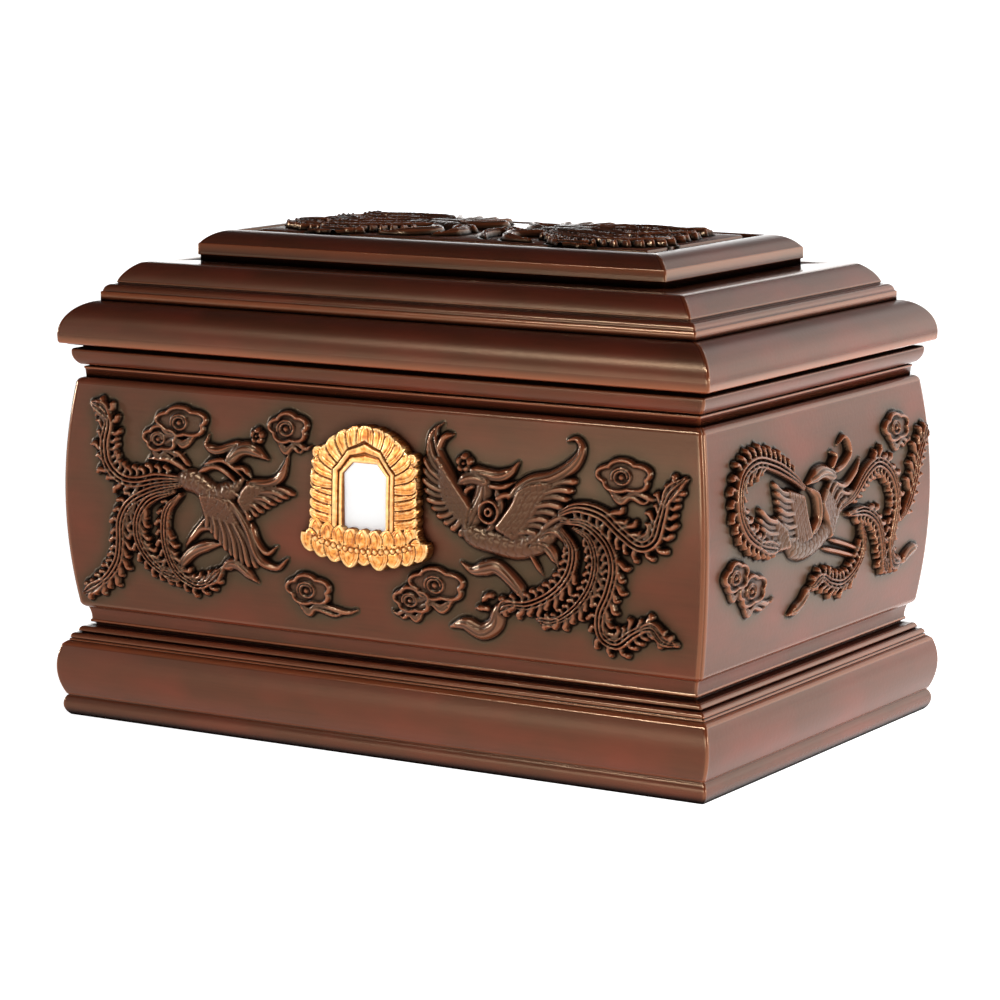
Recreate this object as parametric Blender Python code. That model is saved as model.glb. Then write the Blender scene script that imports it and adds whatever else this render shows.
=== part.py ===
"""A carved rosewood cremation urn with a lift-off lid and a gilt portrait frame.

The front faces -Y and the lid is up. Sizes are in millimetres; the meshes are in metres.
"""
from math import atan2, ceil, cos, hypot, pi, radians, sin

import bmesh
import bpy
from mathutils import Vector

MM = 0.001
GAP = 0.3

# Outer size, over the torus of the base
LENGTH = 340.0
DEPTH = 226.0

# Heights of the courses, from the floor up
BASE_HEIGHT = 34.2
NECK_HEIGHT = 15.0
CASE_HEIGHT = 106.0
CORNICE_HEIGHT = 14.2
RIM_HEIGHT = 19.6
TIER_HEIGHT = 16.8
CAP_HEIGHT = 13.2

# Insets of the faces from the outer size
WALL_INSET = 22.0
BEAD_INSET = 2.4
BEAD_HEIGHT = 8.8
QUIRK_INSET = 4.2
TORUS_INSET = 3.6
QUIRK_HEIGHT = 0.8
NECK_FOOT_INSET = 4.9
NECK_FOOT_HEIGHT = 1.6
NECK_BEAD_WIDTH = 2.4
NECK_BEAD_HEIGHT = 2.2
NECK_INSET = 12.0
NECK_GROOVE_DEPTH = 1.6
NECK_GROOVE_HEIGHT = 1.2
NECK_FILLET_HEIGHT = 1.2
CASE_INSET = 8.0
CASE_CROWN = 4.0
CASE_BULGE = 4.6
CASE_EDGE = 3.2
CASE_ROWS = 6
CORNICE_INSET = 7.2
CORNICE_FILLET = 4.4
CORNICE_OVOLO_WIDTH = 2.4
CORNICE_LIP_HEIGHT = 1.0
RIM_INSET = 2.7
RIM_EDGE_HEIGHT = 5.5
RIM_TOP_INSET = 16.8
RIM_UNDERCUT = 3.3
TIER_FILLET_HEIGHT = 3.8
TIER_OVOLO_HEIGHT = 3.4
TIER_OVOLO_INSET = 21.8
TIER_TOP_INSET = 30.0
CAP_INSET = 48.4
CAP_FOOT_HEIGHT = 2.5
CAP_FILLET_HEIGHT = 5.0
CAP_EDGE_WIDTH = 13.8
EASE = 0.6

# Roundness of the members, as the swell of an arc over its chord
BEAD_SWELL = 0.2
TORUS_SWELL = 0.125
CORNICE_SWELL = 0.12
RIM_SWELL = 0.19
TIER_SWELL = 0.09
CAP_SWELL = 0.13

# Floor, lid lip and bearing widths
LEDGE_WIDTH = 12.0
LEDGE_HEIGHT = 12.0
FLOOR_THICKNESS = 9.0
LIP_CLEARANCE = 0.6
LIP_THICKNESS = 7.0
LIP_DEPTH = 8.0
RIM_WIDTH = 38.0
TIER_BEARING = 13.0
CHANNEL_DEPTH = 2.0
CHANNEL_WIDTH = 6.5

# Gilt portrait frame and its card
FRAME_HALF_WIDTH = 27.5
FRAME_FOOT_HALF_WIDTH = 31.0
FRAME_BOTTOM = 31.0
FRAME_TOP = 32.5
FRAME_CENTRE_HEIGHT = 64.5
FRAME_PROUD = 6.2
FRAME_BAND = 5.0
FRAME_LOBES = 22
LOBE_DEPTH = 1.3
OPENING_WIDTH = 21.5
OPENING_HEIGHT = 29.5
OPENING_CHAMFER = 5.0
OPENING_DROP = 14.8
REBATE_WIDTH = 2.0
REBATE_DEPTH = 1.8
CARD_THICKNESS = 1.0
CARD_CLEARANCE = 0.5

# Carving: heights of the strokes, and the board on which the figures are drawn
SINK = 1.0
PLUME_RELIEF = 3.2
FIGURE_RELIEF = 3.8
CLOUD_RELIEF = 2.4
BARB_STEP = 6.9
STROKE_STEP = 9.6
BOSS_SIDES = 8
CLOUD_SIDES = 10
DRAWN_LENGTH = 340.0
DRAWN_DEPTH = 226.0
DRAWN_HEIGHT = 106.0
DRAWN_MIDDLE = 102.5

# Heights at which the courses start
NECK_Z = BASE_HEIGHT + GAP
CASE_Z = NECK_Z + NECK_HEIGHT + GAP
CORNICE_Z = CASE_Z + CASE_HEIGHT + GAP
RIM_Z = CORNICE_Z + CORNICE_HEIGHT + GAP
TIER_Z = RIM_Z + RIM_HEIGHT + GAP
CAP_Z = TIER_Z + TIER_HEIGHT + GAP
CASE_MIDDLE = CASE_Z + CASE_HEIGHT / 2

# The frame stands out past the torus, so the urn moves back to centre its footprint
FRAME_OVERHANG = max(0.0, FRAME_PROUD - CASE_CROWN)
FOOTPRINT_SHIFT = FRAME_OVERHANG / 2


def at(x, y, z):
    """A point in metres, in the frame whose origin is the middle of the footprint."""
    return Vector((x, y + FOOTPRINT_SHIFT, z)) * MM


def material(name, colour, roughness, metallic=0.0):
    """A plain surface with the part's own colour."""
    result = bpy.data.materials.new(name)
    result.use_nodes = True
    shader = result.node_tree.nodes["Principled BSDF"]
    shader.inputs["Base Color"].default_value = (*colour, 1.0)
    shader.inputs["Roughness"].default_value = roughness
    shader.inputs["Metallic"].default_value = metallic
    return result


def collection(name):
    """A new collection in the scene."""
    result = bpy.data.collections.new(name)
    bpy.context.scene.collection.children.link(result)
    return result


def mesh_object(name, bm, place, surface=None):
    """Turn a bmesh into a named object with outward faces."""
    bmesh.ops.recalc_face_normals(bm, faces=bm.faces)
    mesh = bpy.data.meshes.new(name)
    bm.to_mesh(mesh)
    bm.free()
    result = bpy.data.objects.new(name, mesh)
    place.objects.link(result)
    if surface:
        mesh.materials.append(surface)
    return result


def arc(start, end, swell, steps):
    """Points on a circular arc from start to end that swells by a share of its chord.

    A positive swell turns the arc to the left of the way from start to end.
    """
    (x0, y0), (x1, y1) = start, end
    chord = hypot(x1 - x0, y1 - y0)
    half = 2 * atan2(2 * abs(swell), 1)
    radius = chord / 2 / sin(half)
    side = 1 if swell > 0 else -1
    along = Vector((x1 - x0, y1 - y0)) / chord
    across = Vector((-along.y, along.x)) * side
    centre = (Vector(start) + Vector(end)) / 2 - across * radius * cos(half)
    points = []
    for step in range(steps + 1):
        turn = -half + 2 * half * step / steps
        points.append(tuple(centre + along * radius * sin(turn) + across * radius * cos(turn)))
    return points


def corner_loop(bm, section, side_x, side_y, half_x, half_y, shift=(0.0, 0.0)):
    """The section of a moulding, cut on the mitre at one corner, as a closed loop of edges."""
    verts = []
    for inset, z in section:
        x = side_x * (half_x - inset) + shift[0]
        y = side_y * (half_y - inset) + shift[1]
        verts.append(bm.verts.new(at(x, y, z)))
    return [bm.edges.new((verts[i - 1], verts[i])) for i in range(len(verts))]


def mitred_frame(name, section, place, surface):
    """One course of moulding, mitred at the four corners of the outer size."""
    bm = bmesh.new()
    sides = ((1, -1), (1, 1), (-1, 1), (-1, -1))
    loops = [corner_loop(bm, section, sx, sy, LENGTH / 2, DEPTH / 2) for sx, sy in sides]
    for index in range(4):
        bmesh.ops.bridge_loops(bm, edges=loops[index - 1] + loops[index])
    return mesh_object(name, bm, place, surface)


def mitred_board(name, section, ends, place, surface):
    """One wall of the case, mitred at both ends with half a gap at each mitre."""
    bm = bmesh.new()
    (sx0, sy0), (sx1, sy1) = ends
    back = GAP / 2 * 2 ** 0.5
    pull = Vector((sx1 - sx0, sy1 - sy0)).normalized() * back
    first = corner_loop(bm, section, sx0, sy0, LENGTH / 2, DEPTH / 2, pull)
    last = corner_loop(bm, section, sx1, sy1, LENGTH / 2, DEPTH / 2, -pull)
    bmesh.ops.bridge_loops(bm, edges=first + last)
    bmesh.ops.holes_fill(bm, edges=bm.edges)
    return mesh_object(name, bm, place, surface)


def lifted(profile, z):
    """A profile of (inset, height) points, moved up to z."""
    return [(inset, height + z) for inset, height in profile]


def base_section():
    """Bottom bead, quirk and torus, with the ledge for the floor inside."""
    torus_z = BEAD_HEIGHT + QUIRK_HEIGHT
    bead_top = (BEAD_INSET + 2 * EASE, BEAD_HEIGHT)
    torus_low = (TORUS_INSET, torus_z + EASE)
    torus_high = (TORUS_INSET - EASE, BASE_HEIGHT - EASE)
    return [
        *arc((BEAD_INSET + 4 * EASE, 0), bead_top, BEAD_SWELL, 4),
        (QUIRK_INSET, torus_z),
        *arc(torus_low, torus_high, TORUS_SWELL, 8),
        (TORUS_INSET + EASE, BASE_HEIGHT),
        (WALL_INSET, BASE_HEIGHT),
        (WALL_INSET, LEDGE_HEIGHT),
        (WALL_INSET + LEDGE_WIDTH, LEDGE_HEIGHT),
        (WALL_INSET + LEDGE_WIDTH, 0),
    ]


def neck_section():
    """Two stepped beads, a groove and a fillet, then the tapered neck below the case."""
    beads = []
    inset, z = NECK_FOOT_INSET, NECK_FOOT_HEIGHT
    for _ in range(2):
        beads += arc((inset, z), (inset + NECK_BEAD_WIDTH, z + NECK_BEAD_HEIGHT), BEAD_SWELL, 3)
        inset += NECK_BEAD_WIDTH + EASE
        z += NECK_BEAD_HEIGHT + EASE
    groove = NECK_INSET + NECK_GROOVE_DEPTH
    fillet_z = z + NECK_GROOVE_HEIGHT
    return lifted([
        (NECK_FOOT_INSET, 0),
        *beads,
        (groove, z),
        (groove, fillet_z),
        (NECK_INSET, fillet_z),
        (NECK_INSET, fillet_z + NECK_FILLET_HEIGHT),
        (NECK_INSET + EASE, fillet_z + NECK_FILLET_HEIGHT + EASE / 2),
        (NECK_INSET - EASE, NECK_HEIGHT),
        (WALL_INSET, NECK_HEIGHT),
        (WALL_INSET, 0),
    ], NECK_Z)


def case_inset(z):
    """Inset of the bulging wall face at a height."""
    share = (z - CASE_MIDDLE) / (CASE_HEIGHT / 2)
    return CASE_CROWN + CASE_BULGE * share ** 2


def wall_section():
    """Bulging wall with eased top and bottom edges and a flat inner face."""
    low, high = CASE_Z, CASE_Z + CASE_HEIGHT
    face_low, face_high = low + CASE_EDGE, high - CASE_EDGE
    face = []
    for row in range(CASE_ROWS + 1):
        z = face_low + (face_high - face_low) * row / CASE_ROWS
        face.append((case_inset(z), z))
    edge = CASE_INSET + CASE_EDGE + EASE
    shoulder = case_inset(face_low) + 2 * EASE
    return [
        (edge, low),
        (shoulder, low + CASE_EDGE * 0.4),
        *face,
        (shoulder, high - CASE_EDGE * 0.4),
        (edge, high),
        (WALL_INSET, high),
        (WALL_INSET, low),
    ]


def cornice_section():
    """Upper neck with its fillet and groove, and the inverted ovolo under the lid."""
    ovolo_z = CORNICE_FILLET + 2 * EASE
    ovolo_low = (CORNICE_INSET + CORNICE_OVOLO_WIDTH, ovolo_z)
    ovolo_high = (CORNICE_INSET, CORNICE_HEIGHT - CORNICE_LIP_HEIGHT)
    return lifted([
        (NECK_INSET, 0),
        (NECK_INSET - EASE, CORNICE_FILLET),
        (NECK_INSET + EASE, CORNICE_FILLET),
        (NECK_INSET + EASE, ovolo_z - EASE / 2),
        *arc(ovolo_low, ovolo_high, CORNICE_SWELL, 4),
        (CORNICE_INSET + EASE, CORNICE_HEIGHT),
        (WALL_INSET, CORNICE_HEIGHT),
        (WALL_INSET, 0),
    ], CORNICE_Z)


def rim_section():
    """Big ovolo of the lid, with the locating lip that drops inside the box."""
    lip = WALL_INSET + LIP_CLEARANCE
    return lifted([
        (RIM_INSET + RIM_UNDERCUT, 0),
        (RIM_INSET + EASE, EASE),
        (RIM_INSET, 3 * EASE),
        *arc((RIM_INSET, RIM_EDGE_HEIGHT), (RIM_TOP_INSET, RIM_HEIGHT), RIM_SWELL, 8),
        (RIM_WIDTH, RIM_HEIGHT),
        (RIM_WIDTH, 0),
        (lip + LIP_THICKNESS, 0),
        (lip + LIP_THICKNESS, -LIP_DEPTH),
        (lip, -LIP_DEPTH),
        (lip, 0),
    ], RIM_Z)


def tier_section():
    """Fillet, small ovolo, quirk and the wider ovolo that carries the cap."""
    step_z = TIER_FILLET_HEIGHT + TIER_OVOLO_HEIGHT
    inner = CAP_INSET + TIER_BEARING
    small_low = (RIM_TOP_INSET + EASE, TIER_FILLET_HEIGHT + EASE / 2)
    small_high = (TIER_OVOLO_INSET - EASE, step_z - EASE / 2)
    wide_low = (TIER_OVOLO_INSET + EASE, step_z + EASE)
    wide_high = (TIER_TOP_INSET, TIER_HEIGHT - EASE)
    return lifted([
        (RIM_TOP_INSET, 0),
        (RIM_TOP_INSET, TIER_FILLET_HEIGHT),
        *arc(small_low, small_high, BEAD_SWELL, 3),
        (TIER_OVOLO_INSET + EASE, step_z),
        *arc(wide_low, wide_high, TIER_SWELL, 5),
        (TIER_TOP_INSET + 5 * EASE, TIER_HEIGHT),
        (inner, TIER_HEIGHT),
        (inner, 0),
    ], TIER_Z)


def cap_section():
    """Foot, fillet and ovolo around the cap, down into the channel and up the raised panel."""
    edge_inset = CAP_INSET + CAP_EDGE_WIDTH
    panel_inset = edge_inset + CHANNEL_WIDTH
    fillet_top = CAP_FOOT_HEIGHT + CAP_FILLET_HEIGHT
    foot_inset = CAP_INSET + 1.5 * EASE
    return lifted([
        (foot_inset, 0),
        (foot_inset, CAP_FOOT_HEIGHT - EASE / 2),
        (CAP_INSET, CAP_FOOT_HEIGHT),
        (CAP_INSET + EASE / 2, fillet_top),
        *arc((CAP_INSET + EASE, fillet_top + EASE / 2), (edge_inset, CAP_HEIGHT), CAP_SWELL, 5),
        (edge_inset + EASE, CAP_HEIGHT - CHANNEL_DEPTH),
        (panel_inset, CAP_HEIGHT - CHANNEL_DEPTH),
        (panel_inset + EASE, CAP_HEIGHT),
    ], CAP_Z)


def board(name, half_x, half_y, z, thickness, place, surface):
    """A flat rectangular board."""
    bm = bmesh.new()
    bmesh.ops.create_cube(bm, size=1)
    for vert in bm.verts:
        vert.co = at(vert.co.x * 2 * half_x, vert.co.y * 2 * half_y, z + thickness * (vert.co.z + 0.5))
    return mesh_object(name, bm, place, surface)


def solid_cap(name, place, surface):
    """The cap is one board: its moulded edge is closed below and across the raised panel."""
    bm = bmesh.new()
    rings = []
    for inset, z in cap_section():
        half_x, half_y = LENGTH / 2 - inset, DEPTH / 2 - inset
        corners = ((-half_x, -half_y), (half_x, -half_y), (half_x, half_y), (-half_x, half_y))
        verts = [bm.verts.new(at(x, y, z)) for x, y in corners]
        rings.append([bm.edges.new((verts[i - 1], verts[i])) for i in range(4)])
    for below, above in zip(rings, rings[1:]):
        bmesh.ops.bridge_loops(bm, edges=below + above)
    bmesh.ops.holes_fill(bm, edges=bm.edges)
    return mesh_object(name, bm, place, surface)


def drawn_height(v):
    """Height above the floor of a drawn height, as a share of the case."""
    return CASE_MIDDLE + (v - DRAWN_MIDDLE) * CASE_HEIGHT / DRAWN_HEIGHT


def on_front(u, v, lift):
    """A point of the drawing on the front wall, lifted off its face."""
    z = drawn_height(v)
    return at(u * LENGTH / DRAWN_LENGTH, case_inset(z) - DEPTH / 2 - lift, z)


def on_back(u, v, lift):
    """A point of the drawing on the back wall."""
    z = drawn_height(v)
    return at(-u * LENGTH / DRAWN_LENGTH, DEPTH / 2 - case_inset(z) + lift, z)


def on_right(u, v, lift):
    """A point of the drawing on the right wall."""
    z = drawn_height(v)
    return at(LENGTH / 2 - case_inset(z) + lift, u * DEPTH / DRAWN_DEPTH, z)


def on_left(u, v, lift):
    """The mirror image of the right wall."""
    z = drawn_height(v)
    return at(case_inset(z) - LENGTH / 2 - lift, u * DEPTH / DRAWN_DEPTH, z)


def on_cap(u, v, lift):
    """A point of the drawing on the raised panel of the lid."""
    return at(u * LENGTH / DRAWN_LENGTH, v * DEPTH / DRAWN_DEPTH, CAP_Z + CAP_HEIGHT + lift)


def curve_points(points, count):
    """Points at even steps along a smooth curve through the given ones."""
    knots = [Vector(p) for p in points]
    knots = [knots[0] * 2 - knots[1], *knots, knots[-1] * 2 - knots[-2]]
    fine = []
    for a, b, c, d in zip(knots, knots[1:], knots[2:], knots[3:]):
        for step in range(12):
            t = step / 12
            bend = (2 * a - 5 * b + 4 * c - d) * t * t + (3 * b - a - 3 * c + d) * t ** 3
            fine.append(b + (c - a) * t / 2 + bend / 2)
    fine.append(knots[-2])
    reach = [0.0]
    for a, b in zip(fine, fine[1:]):
        reach.append(reach[-1] + (b - a).length)
    result = []
    index = 0
    for step in range(count + 1):
        goal = reach[-1] * step / count
        while index < len(fine) - 2 and reach[index + 1] < goal:
            index += 1
        share = (goal - reach[index]) / max(reach[index + 1] - reach[index], 1e-9)
        result.append(fine[index].lerp(fine[index + 1], min(share, 1.0)))
    return result


def path_length(points):
    """Rough length of a path of points."""
    return sum((Vector(b) - Vector(a)).length for a, b in zip(points, points[1:]))


def swell(t, root):
    """Share of the full width along a stroke, narrow at the root and pointed at the tip."""
    return min(1.0, root + 4 * t) * min(1.0, 0.1 + 3 * (1 - t))


def ridge(surface, points, width, relief, step, barbs=False, root=0.4):
    """A carved ridge along a path: two slopes up to a crest, and a base sunk in the wall.

    With barbs, every other station is wide and swept forward, so the edge is serrated.
    """
    bm = bmesh.new()
    count = ceil(path_length(points) / step)
    path = curve_points(points, count)
    rows = []
    for index, point in enumerate(path):
        ahead = path[min(index + 1, count)] - path[max(index - 1, 0)]
        ahead.normalize()
        across = Vector((-ahead.y, ahead.x))
        half = width / 2 * swell(index / count, root)
        sweep = 0.0
        if barbs and 0 < index < count:
            half *= 1.0 if index % 2 else 0.52
            sweep = step * 0.35 if index % 2 else 0.0
        height = relief * min(1.0, 0.35 + swell(index / count, root))
        left = point + across * half + ahead * sweep
        right = point - across * half + ahead * sweep
        rows.append([
            bm.verts.new(surface(left.x, left.y, -SINK)),
            bm.verts.new(surface(point.x, point.y, height)),
            bm.verts.new(surface(right.x, right.y, -SINK)),
        ])
    for first, second in zip(rows, rows[1:]):
        for i in range(3):
            bm.faces.new((first[i - 1], first[i], second[i], second[i - 1]))
    bm.faces.new(rows[0])
    bm.faces.new(rows[-1])
    return bm


def boss(surface, centre, half_u, half_v, relief, sides=BOSS_SIDES, lobed=False):
    """A low boss with a flat sunk base, round or with lobes around its edge."""
    bm = bmesh.new()
    base, top = [], []
    for index in range(sides):
        turn = 2 * pi * index / sides
        reach = 0.84 if lobed and index % 2 else 1.0
        u, v = half_u * reach * cos(turn), half_v * reach * sin(turn)
        base.append(bm.verts.new(surface(centre[0] + u, centre[1] + v, -SINK)))
        top.append(bm.verts.new(surface(centre[0] + u * 0.66, centre[1] + v * 0.66, relief * 0.8)))
    peak = bm.verts.new(surface(centre[0], centre[1], relief))
    for i in range(sides):
        bm.faces.new((base[i - 1], base[i], top[i], top[i - 1]))
        bm.faces.new((top[i - 1], top[i], peak))
    bm.faces.new(base)
    return bm


def cloud(surface, centre, half_u, half_v, tail):
    """A lobed cloud with a raised scroll, and a tail that drifts to one side."""
    scroll = [(centre[0] + half_u * 0.42 * cos(a), centre[1] + half_v * 0.42 * sin(a))
              for a in (radians(d) for d in range(-60, 270, 80))]
    drift = [(centre[0] + tail * s * half_u, centre[1] - half_v * f)
             for s, f in ((0.1, 0.75), (0.7, 1.1), (1.2, 0.85), (1.7, 1.0))]
    return [
        boss(surface, centre, half_u, half_v, CLOUD_RELIEF, CLOUD_SIDES, lobed=True),
        ridge(surface, scroll, half_v * 0.42, CLOUD_RELIEF * 1.7, STROKE_STEP, root=0.8),
        ridge(surface, drift, half_v * 0.5, CLOUD_RELIEF, STROKE_STEP),
    ]


def wing(surface, cover, tips, feathers, width):
    """A fan of feathers, from the edge of the covert feathers out to the tips."""
    gaps = round(feathers) - 1
    roots = curve_points(cover, gaps)
    ends = curve_points(tips, gaps)
    return [ridge(surface, (root, end), width, PLUME_RELIEF, (end - root).length, root=0.7)
            for root, end in zip(roots, ends)]


# The figures. Across is measured from the middle of the board, up from the floor of the drawing.
RIGHT_BIRD = {
    "plumes": [
        (8.5, [(97, 116), (106, 119.5), (118, 117.5), (127, 111), (136, 106), (143, 109),
               (146, 118), (149, 128), (156, 135.5)]),
        (7.5, [(98, 113), (110, 113), (120, 106), (123.5, 96), (121, 85), (116.5, 75), (117, 66),
               (124, 63), (133, 69), (141, 72), (146, 67), (153, 65.5)]),
        (8.0, [(98, 110), (104, 102), (102, 91), (94, 82), (82, 76), (71, 75), (66, 70),
               (61, 63), (52, 61.5), (41, 62)]),
        (6.0, [(104, 111), (112, 107), (115, 97), (112, 86), (104, 76), (94, 70), (85, 70)]),
    ],
    "strokes": [
        (7.0, [(80, 79), (73, 86), (66, 90.5), (60, 89.5), (54, 88), (48, 91)]),
        (12.0, [(51, 109), (55, 103.5), (64, 101.5), (76, 100), (88, 104), (98, 112)]),
        (7.5, [(60, 128), (61, 121), (57, 114), (52, 107)]),
        (6.5, [(61, 126.5), (54, 127.5), (46.5, 124.5)]),
        (5.5, [(54, 131), (61, 129.5), (68, 129.5), (72.5, 132), (75.5, 136)]),
        (4.5, [(63, 119), (68, 120.5), (75.5, 122)]),
        (4.0, [(66, 118.5), (68, 113.5), (64, 109.5), (59, 111)]),
        (2.4, [(82, 99), (88.5, 89)]),
        (3.0, [(89, 102), (96.5, 94)]),
        (7.0, [(52, 116), (48, 121), (42, 128), (36.5, 135), (34, 141), (36.5, 148.5)]),
        (4.0, [(36, 139), (38.5, 143.5), (43, 145)]),
        (7.5, [(67, 108), (74, 116), (78, 126), (88, 130), (98, 133), (105, 140),
               (104.5, 146.5), (98.5, 146.5)]),
    ],
    "wings": [
        (4.6, 9, [(51, 108), (44, 114), (39.5, 121), (38, 131)],
         [(48, 103), (38, 109.5), (31, 119), (29.5, 131), (32, 142)]),
        (4.8, 7, [(75, 104), (82, 112), (87, 121), (92, 127)],
         [(84, 103.5), (92, 112), (100, 121.5), (103.5, 130)]),
    ],
    "bosses": [(49.5, 133.5, 4.4, 3.6)],
}

LEFT_BIRD = {
    "plumes": [
        (8.5, [(-97, 115), (-110, 114.5), (-122, 112), (-131, 113), (-138, 119), (-140, 128),
               (-138.5, 137), (-142, 143), (-150, 145.5)]),
        (7.5, [(-97, 112.5), (-112, 109), (-125, 102.5), (-131, 94), (-132, 84), (-134, 75),
               (-140, 67), (-148, 61.5), (-157, 57)]),
        (7.0, [(-101, 109), (-114, 105), (-121, 97), (-122, 87), (-117, 78), (-108, 71.5), (-98, 69)]),
        (6.5, [(-98, 108), (-105, 101), (-107, 92), (-106, 82), (-101, 72.5), (-91, 67.5), (-82, 70.5),
               (-76, 77), (-69, 78.5), (-58, 71.5)]),
    ],
    "strokes": [
        (5.0, [(-101, 75), (-94, 81.5), (-86, 85.5), (-76, 87.5)]),
        (4.0, [(-95, 119), (-106, 123), (-117, 122.5)]),
        (12.0, [(-98, 115), (-90, 114), (-80, 109), (-70, 112), (-64, 118)]),
        (8.0, [(-84, 121), (-76, 121.5), (-70, 117), (-66, 112)]),
        (6.5, [(-72, 125), (-67, 131), (-60, 131), (-52, 128)]),
        (4.5, [(-66, 133), (-72, 131), (-79, 129), (-85, 131), (-84, 135.5)]),
        (6.5, [(-74, 108), (-66, 102), (-61, 94), (-58, 86), (-54, 81), (-47, 79.5), (-41.5, 84)]),
        (3.5, [(-59, 98), (-56.5, 90), (-52, 85.5), (-47, 89)]),
        (5.0, [(-62, 116), (-50, 116.5), (-44, 121), (-41, 130)]),
        (2.4, [(-84, 98), (-97, 85)]),
        (3.0, [(-80, 94), (-88, 92.5), (-97, 84)]),
    ],
    "wings": [
        (4.6, 7, [(-70, 104), (-76, 104), (-84, 104)], [(-61, 79), (-69, 83), (-77, 89), (-85, 96)]),
        (4.4, 6, [(-56, 113), (-61, 109), (-64, 104)], [(-41, 112), (-50, 107), (-61, 100)]),
    ],
    "bosses": [(-57.5, 137, 3.6, 3.6)],
}

FRONT_CLOUDS = [(127, 134, 14, 7.2, 0.6), (-99, 140, 14, 6.8, -0.5), (-110, 132, 10, 6, 0.5),
                (-41.5, 141.5, 10.5, 6.8, 0.4), (-30, 71, 12.5, 7.2, 1.3), (36, 79.5, 15, 7.5, -0.5)]

SIDE_BIRD = {
    "plumes": [
        (8.5, [(-24, 121), (-36, 128), (-50, 134), (-66, 137.5), (-80, 133), (-84, 121), (-78, 110),
               (-64, 102), (-46, 98)]),
        (8.0, [(10, 108), (22, 112), (35, 120), (48, 123), (60, 117), (66, 106), (64, 95), (61, 84),
               (66, 75), (77, 74), (93, 79)]),
        (8.0, [(70, 94), (78, 101), (85, 112), (90, 122), (101, 134)]),
        (7.0, [(18, 104), (34, 103), (46, 97), (52, 87), (55, 77), (61, 71)]),
        (7.0, [(31, 98), (33, 88), (27, 79), (15, 74), (3, 76), (-7, 80), (-17, 76), (-32, 67)]),
        (12.0, [(-47, 126), (-42, 113), (-34, 103)]),
    ],
    "strokes": [
        (12.0, [(-38, 99), (-25, 95), (-10, 97), (4, 104), (14, 111)]),
        (9.0, [(-20, 98), (-14, 108), (-10, 118)]),
        (8.0, [(6, 122), (-6, 125), (-21, 122.5)]),
        (5.0, [(4, 124), (14, 126), (21, 131), (18, 138), (11, 135)]),
        (8.0, [(4, 120), (14, 117), (22, 121)]),
        (3.0, [(-4, 92), (16, 87), (37, 81)]),
    ],
    "wings": [(4.4, 5, [(-44, 101), (-48, 106), (-50, 110)], [(-58, 104), (-64, 112), (-64, 117)])],
    "bosses": [],
}

SIDE_CLOUDS = [(70, 136, 13, 6.5, 0.5), (-77, 90, 14, 7.5, 1.2)]
BACK_CLOUDS = [(-96, 122, 20, 9.5, 0.9), (96, 122, 20, 9.5, -0.9), (-52, 82, 16, 8, 1.1),
               (52, 82, 16, 8, -1.1)]

CAP_HALF_BIRD = {
    "plumes": [
        (10.0, [(30, -4), (44, -20), (62, -30), (82, -30), (94, -18), (84, -8)]),
        (9.0, [(34, 4), (52, 4), (70, -6), (84, 4), (94, 18)]),
        (9.0, [(28, 10), (44, 24), (62, 30), (80, 26), (92, 34)]),
    ],
    "strokes": [
        (14.0, [(44, 0), (32, 4), (20, 0)]),
        (8.0, [(24, 2), (14, 8), (8, 18), (14, 26)]),
        (8.0, [(30, -8), (20, -20), (26, -34), (40, -38)]),
    ],
    "wings": [(6.0, 5, [(34, 10), (28, 14), (22, 14)], [(46, 38), (32, 40), (18, 36)])],
    "bosses": [(12, -10, 7, 6)],
}


def bird(surface, figure, flip=1):
    """Every stroke of one phoenix, mirrored across the middle when flip is -1."""
    def turned(points):
        return [(flip * u, v) for u, v in points]

    strokes = []
    for width, points in figure["plumes"]:
        strokes.append(ridge(surface, turned(points), width, PLUME_RELIEF, BARB_STEP, barbs=True))
    for width, points in figure["strokes"]:
        strokes.append(ridge(surface, turned(points), width, FIGURE_RELIEF, STROKE_STEP))
    for width, feathers, cover, tips in figure["wings"]:
        strokes += wing(surface, turned(cover), turned(tips), feathers, width)
    for u, v, half_u, half_v in figure["bosses"]:
        strokes.append(boss(surface, (flip * u, v), half_u, half_v, FIGURE_RELIEF))
    return strokes


def clouds(surface, rows):
    """The strokes of every cloud in a list."""
    strokes = []
    for u, v, half_u, half_v, tail in rows:
        strokes += cloud(surface, (u, v), half_u, half_v, tail)
    return strokes


def carve(target, strokes, cutters):
    """Join the carved strokes, each a closed shape of its own, to a board."""
    carving = bpy.data.collections.new(target.name + "_carving")
    cutters.children.link(carving)
    for index, bm in enumerate(strokes):
        stroke = mesh_object(f"{target.name}_stroke_{index}", bm, carving)
        stroke.hide_render = True
        stroke.display_type = "WIRE"
    union = target.modifiers.new("carving", "BOOLEAN")
    union.operation = "UNION"
    union.solver = "EXACT"
    union.operand_type = "COLLECTION"
    union.collection = carving


def frame_reach(turn):
    """Distance from the frame's middle to its outline, without the lobes.

    The sides are straight, the top is a round arch, and the foot flares.
    """
    c, s = cos(turn), sin(turn)
    if s >= 0:
        power = 2.6
        return (abs(c / FRAME_HALF_WIDTH) ** power + abs(s / FRAME_TOP) ** power) ** (-1 / power)
    power = 3.4
    half_width = FRAME_HALF_WIDTH + (FRAME_FOOT_HALF_WIDTH - FRAME_HALF_WIDTH) * min(1.0, -1.6 * s)
    return (abs(c / half_width) ** power + abs(s / FRAME_BOTTOM) ** power) ** (-1 / power)


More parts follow.
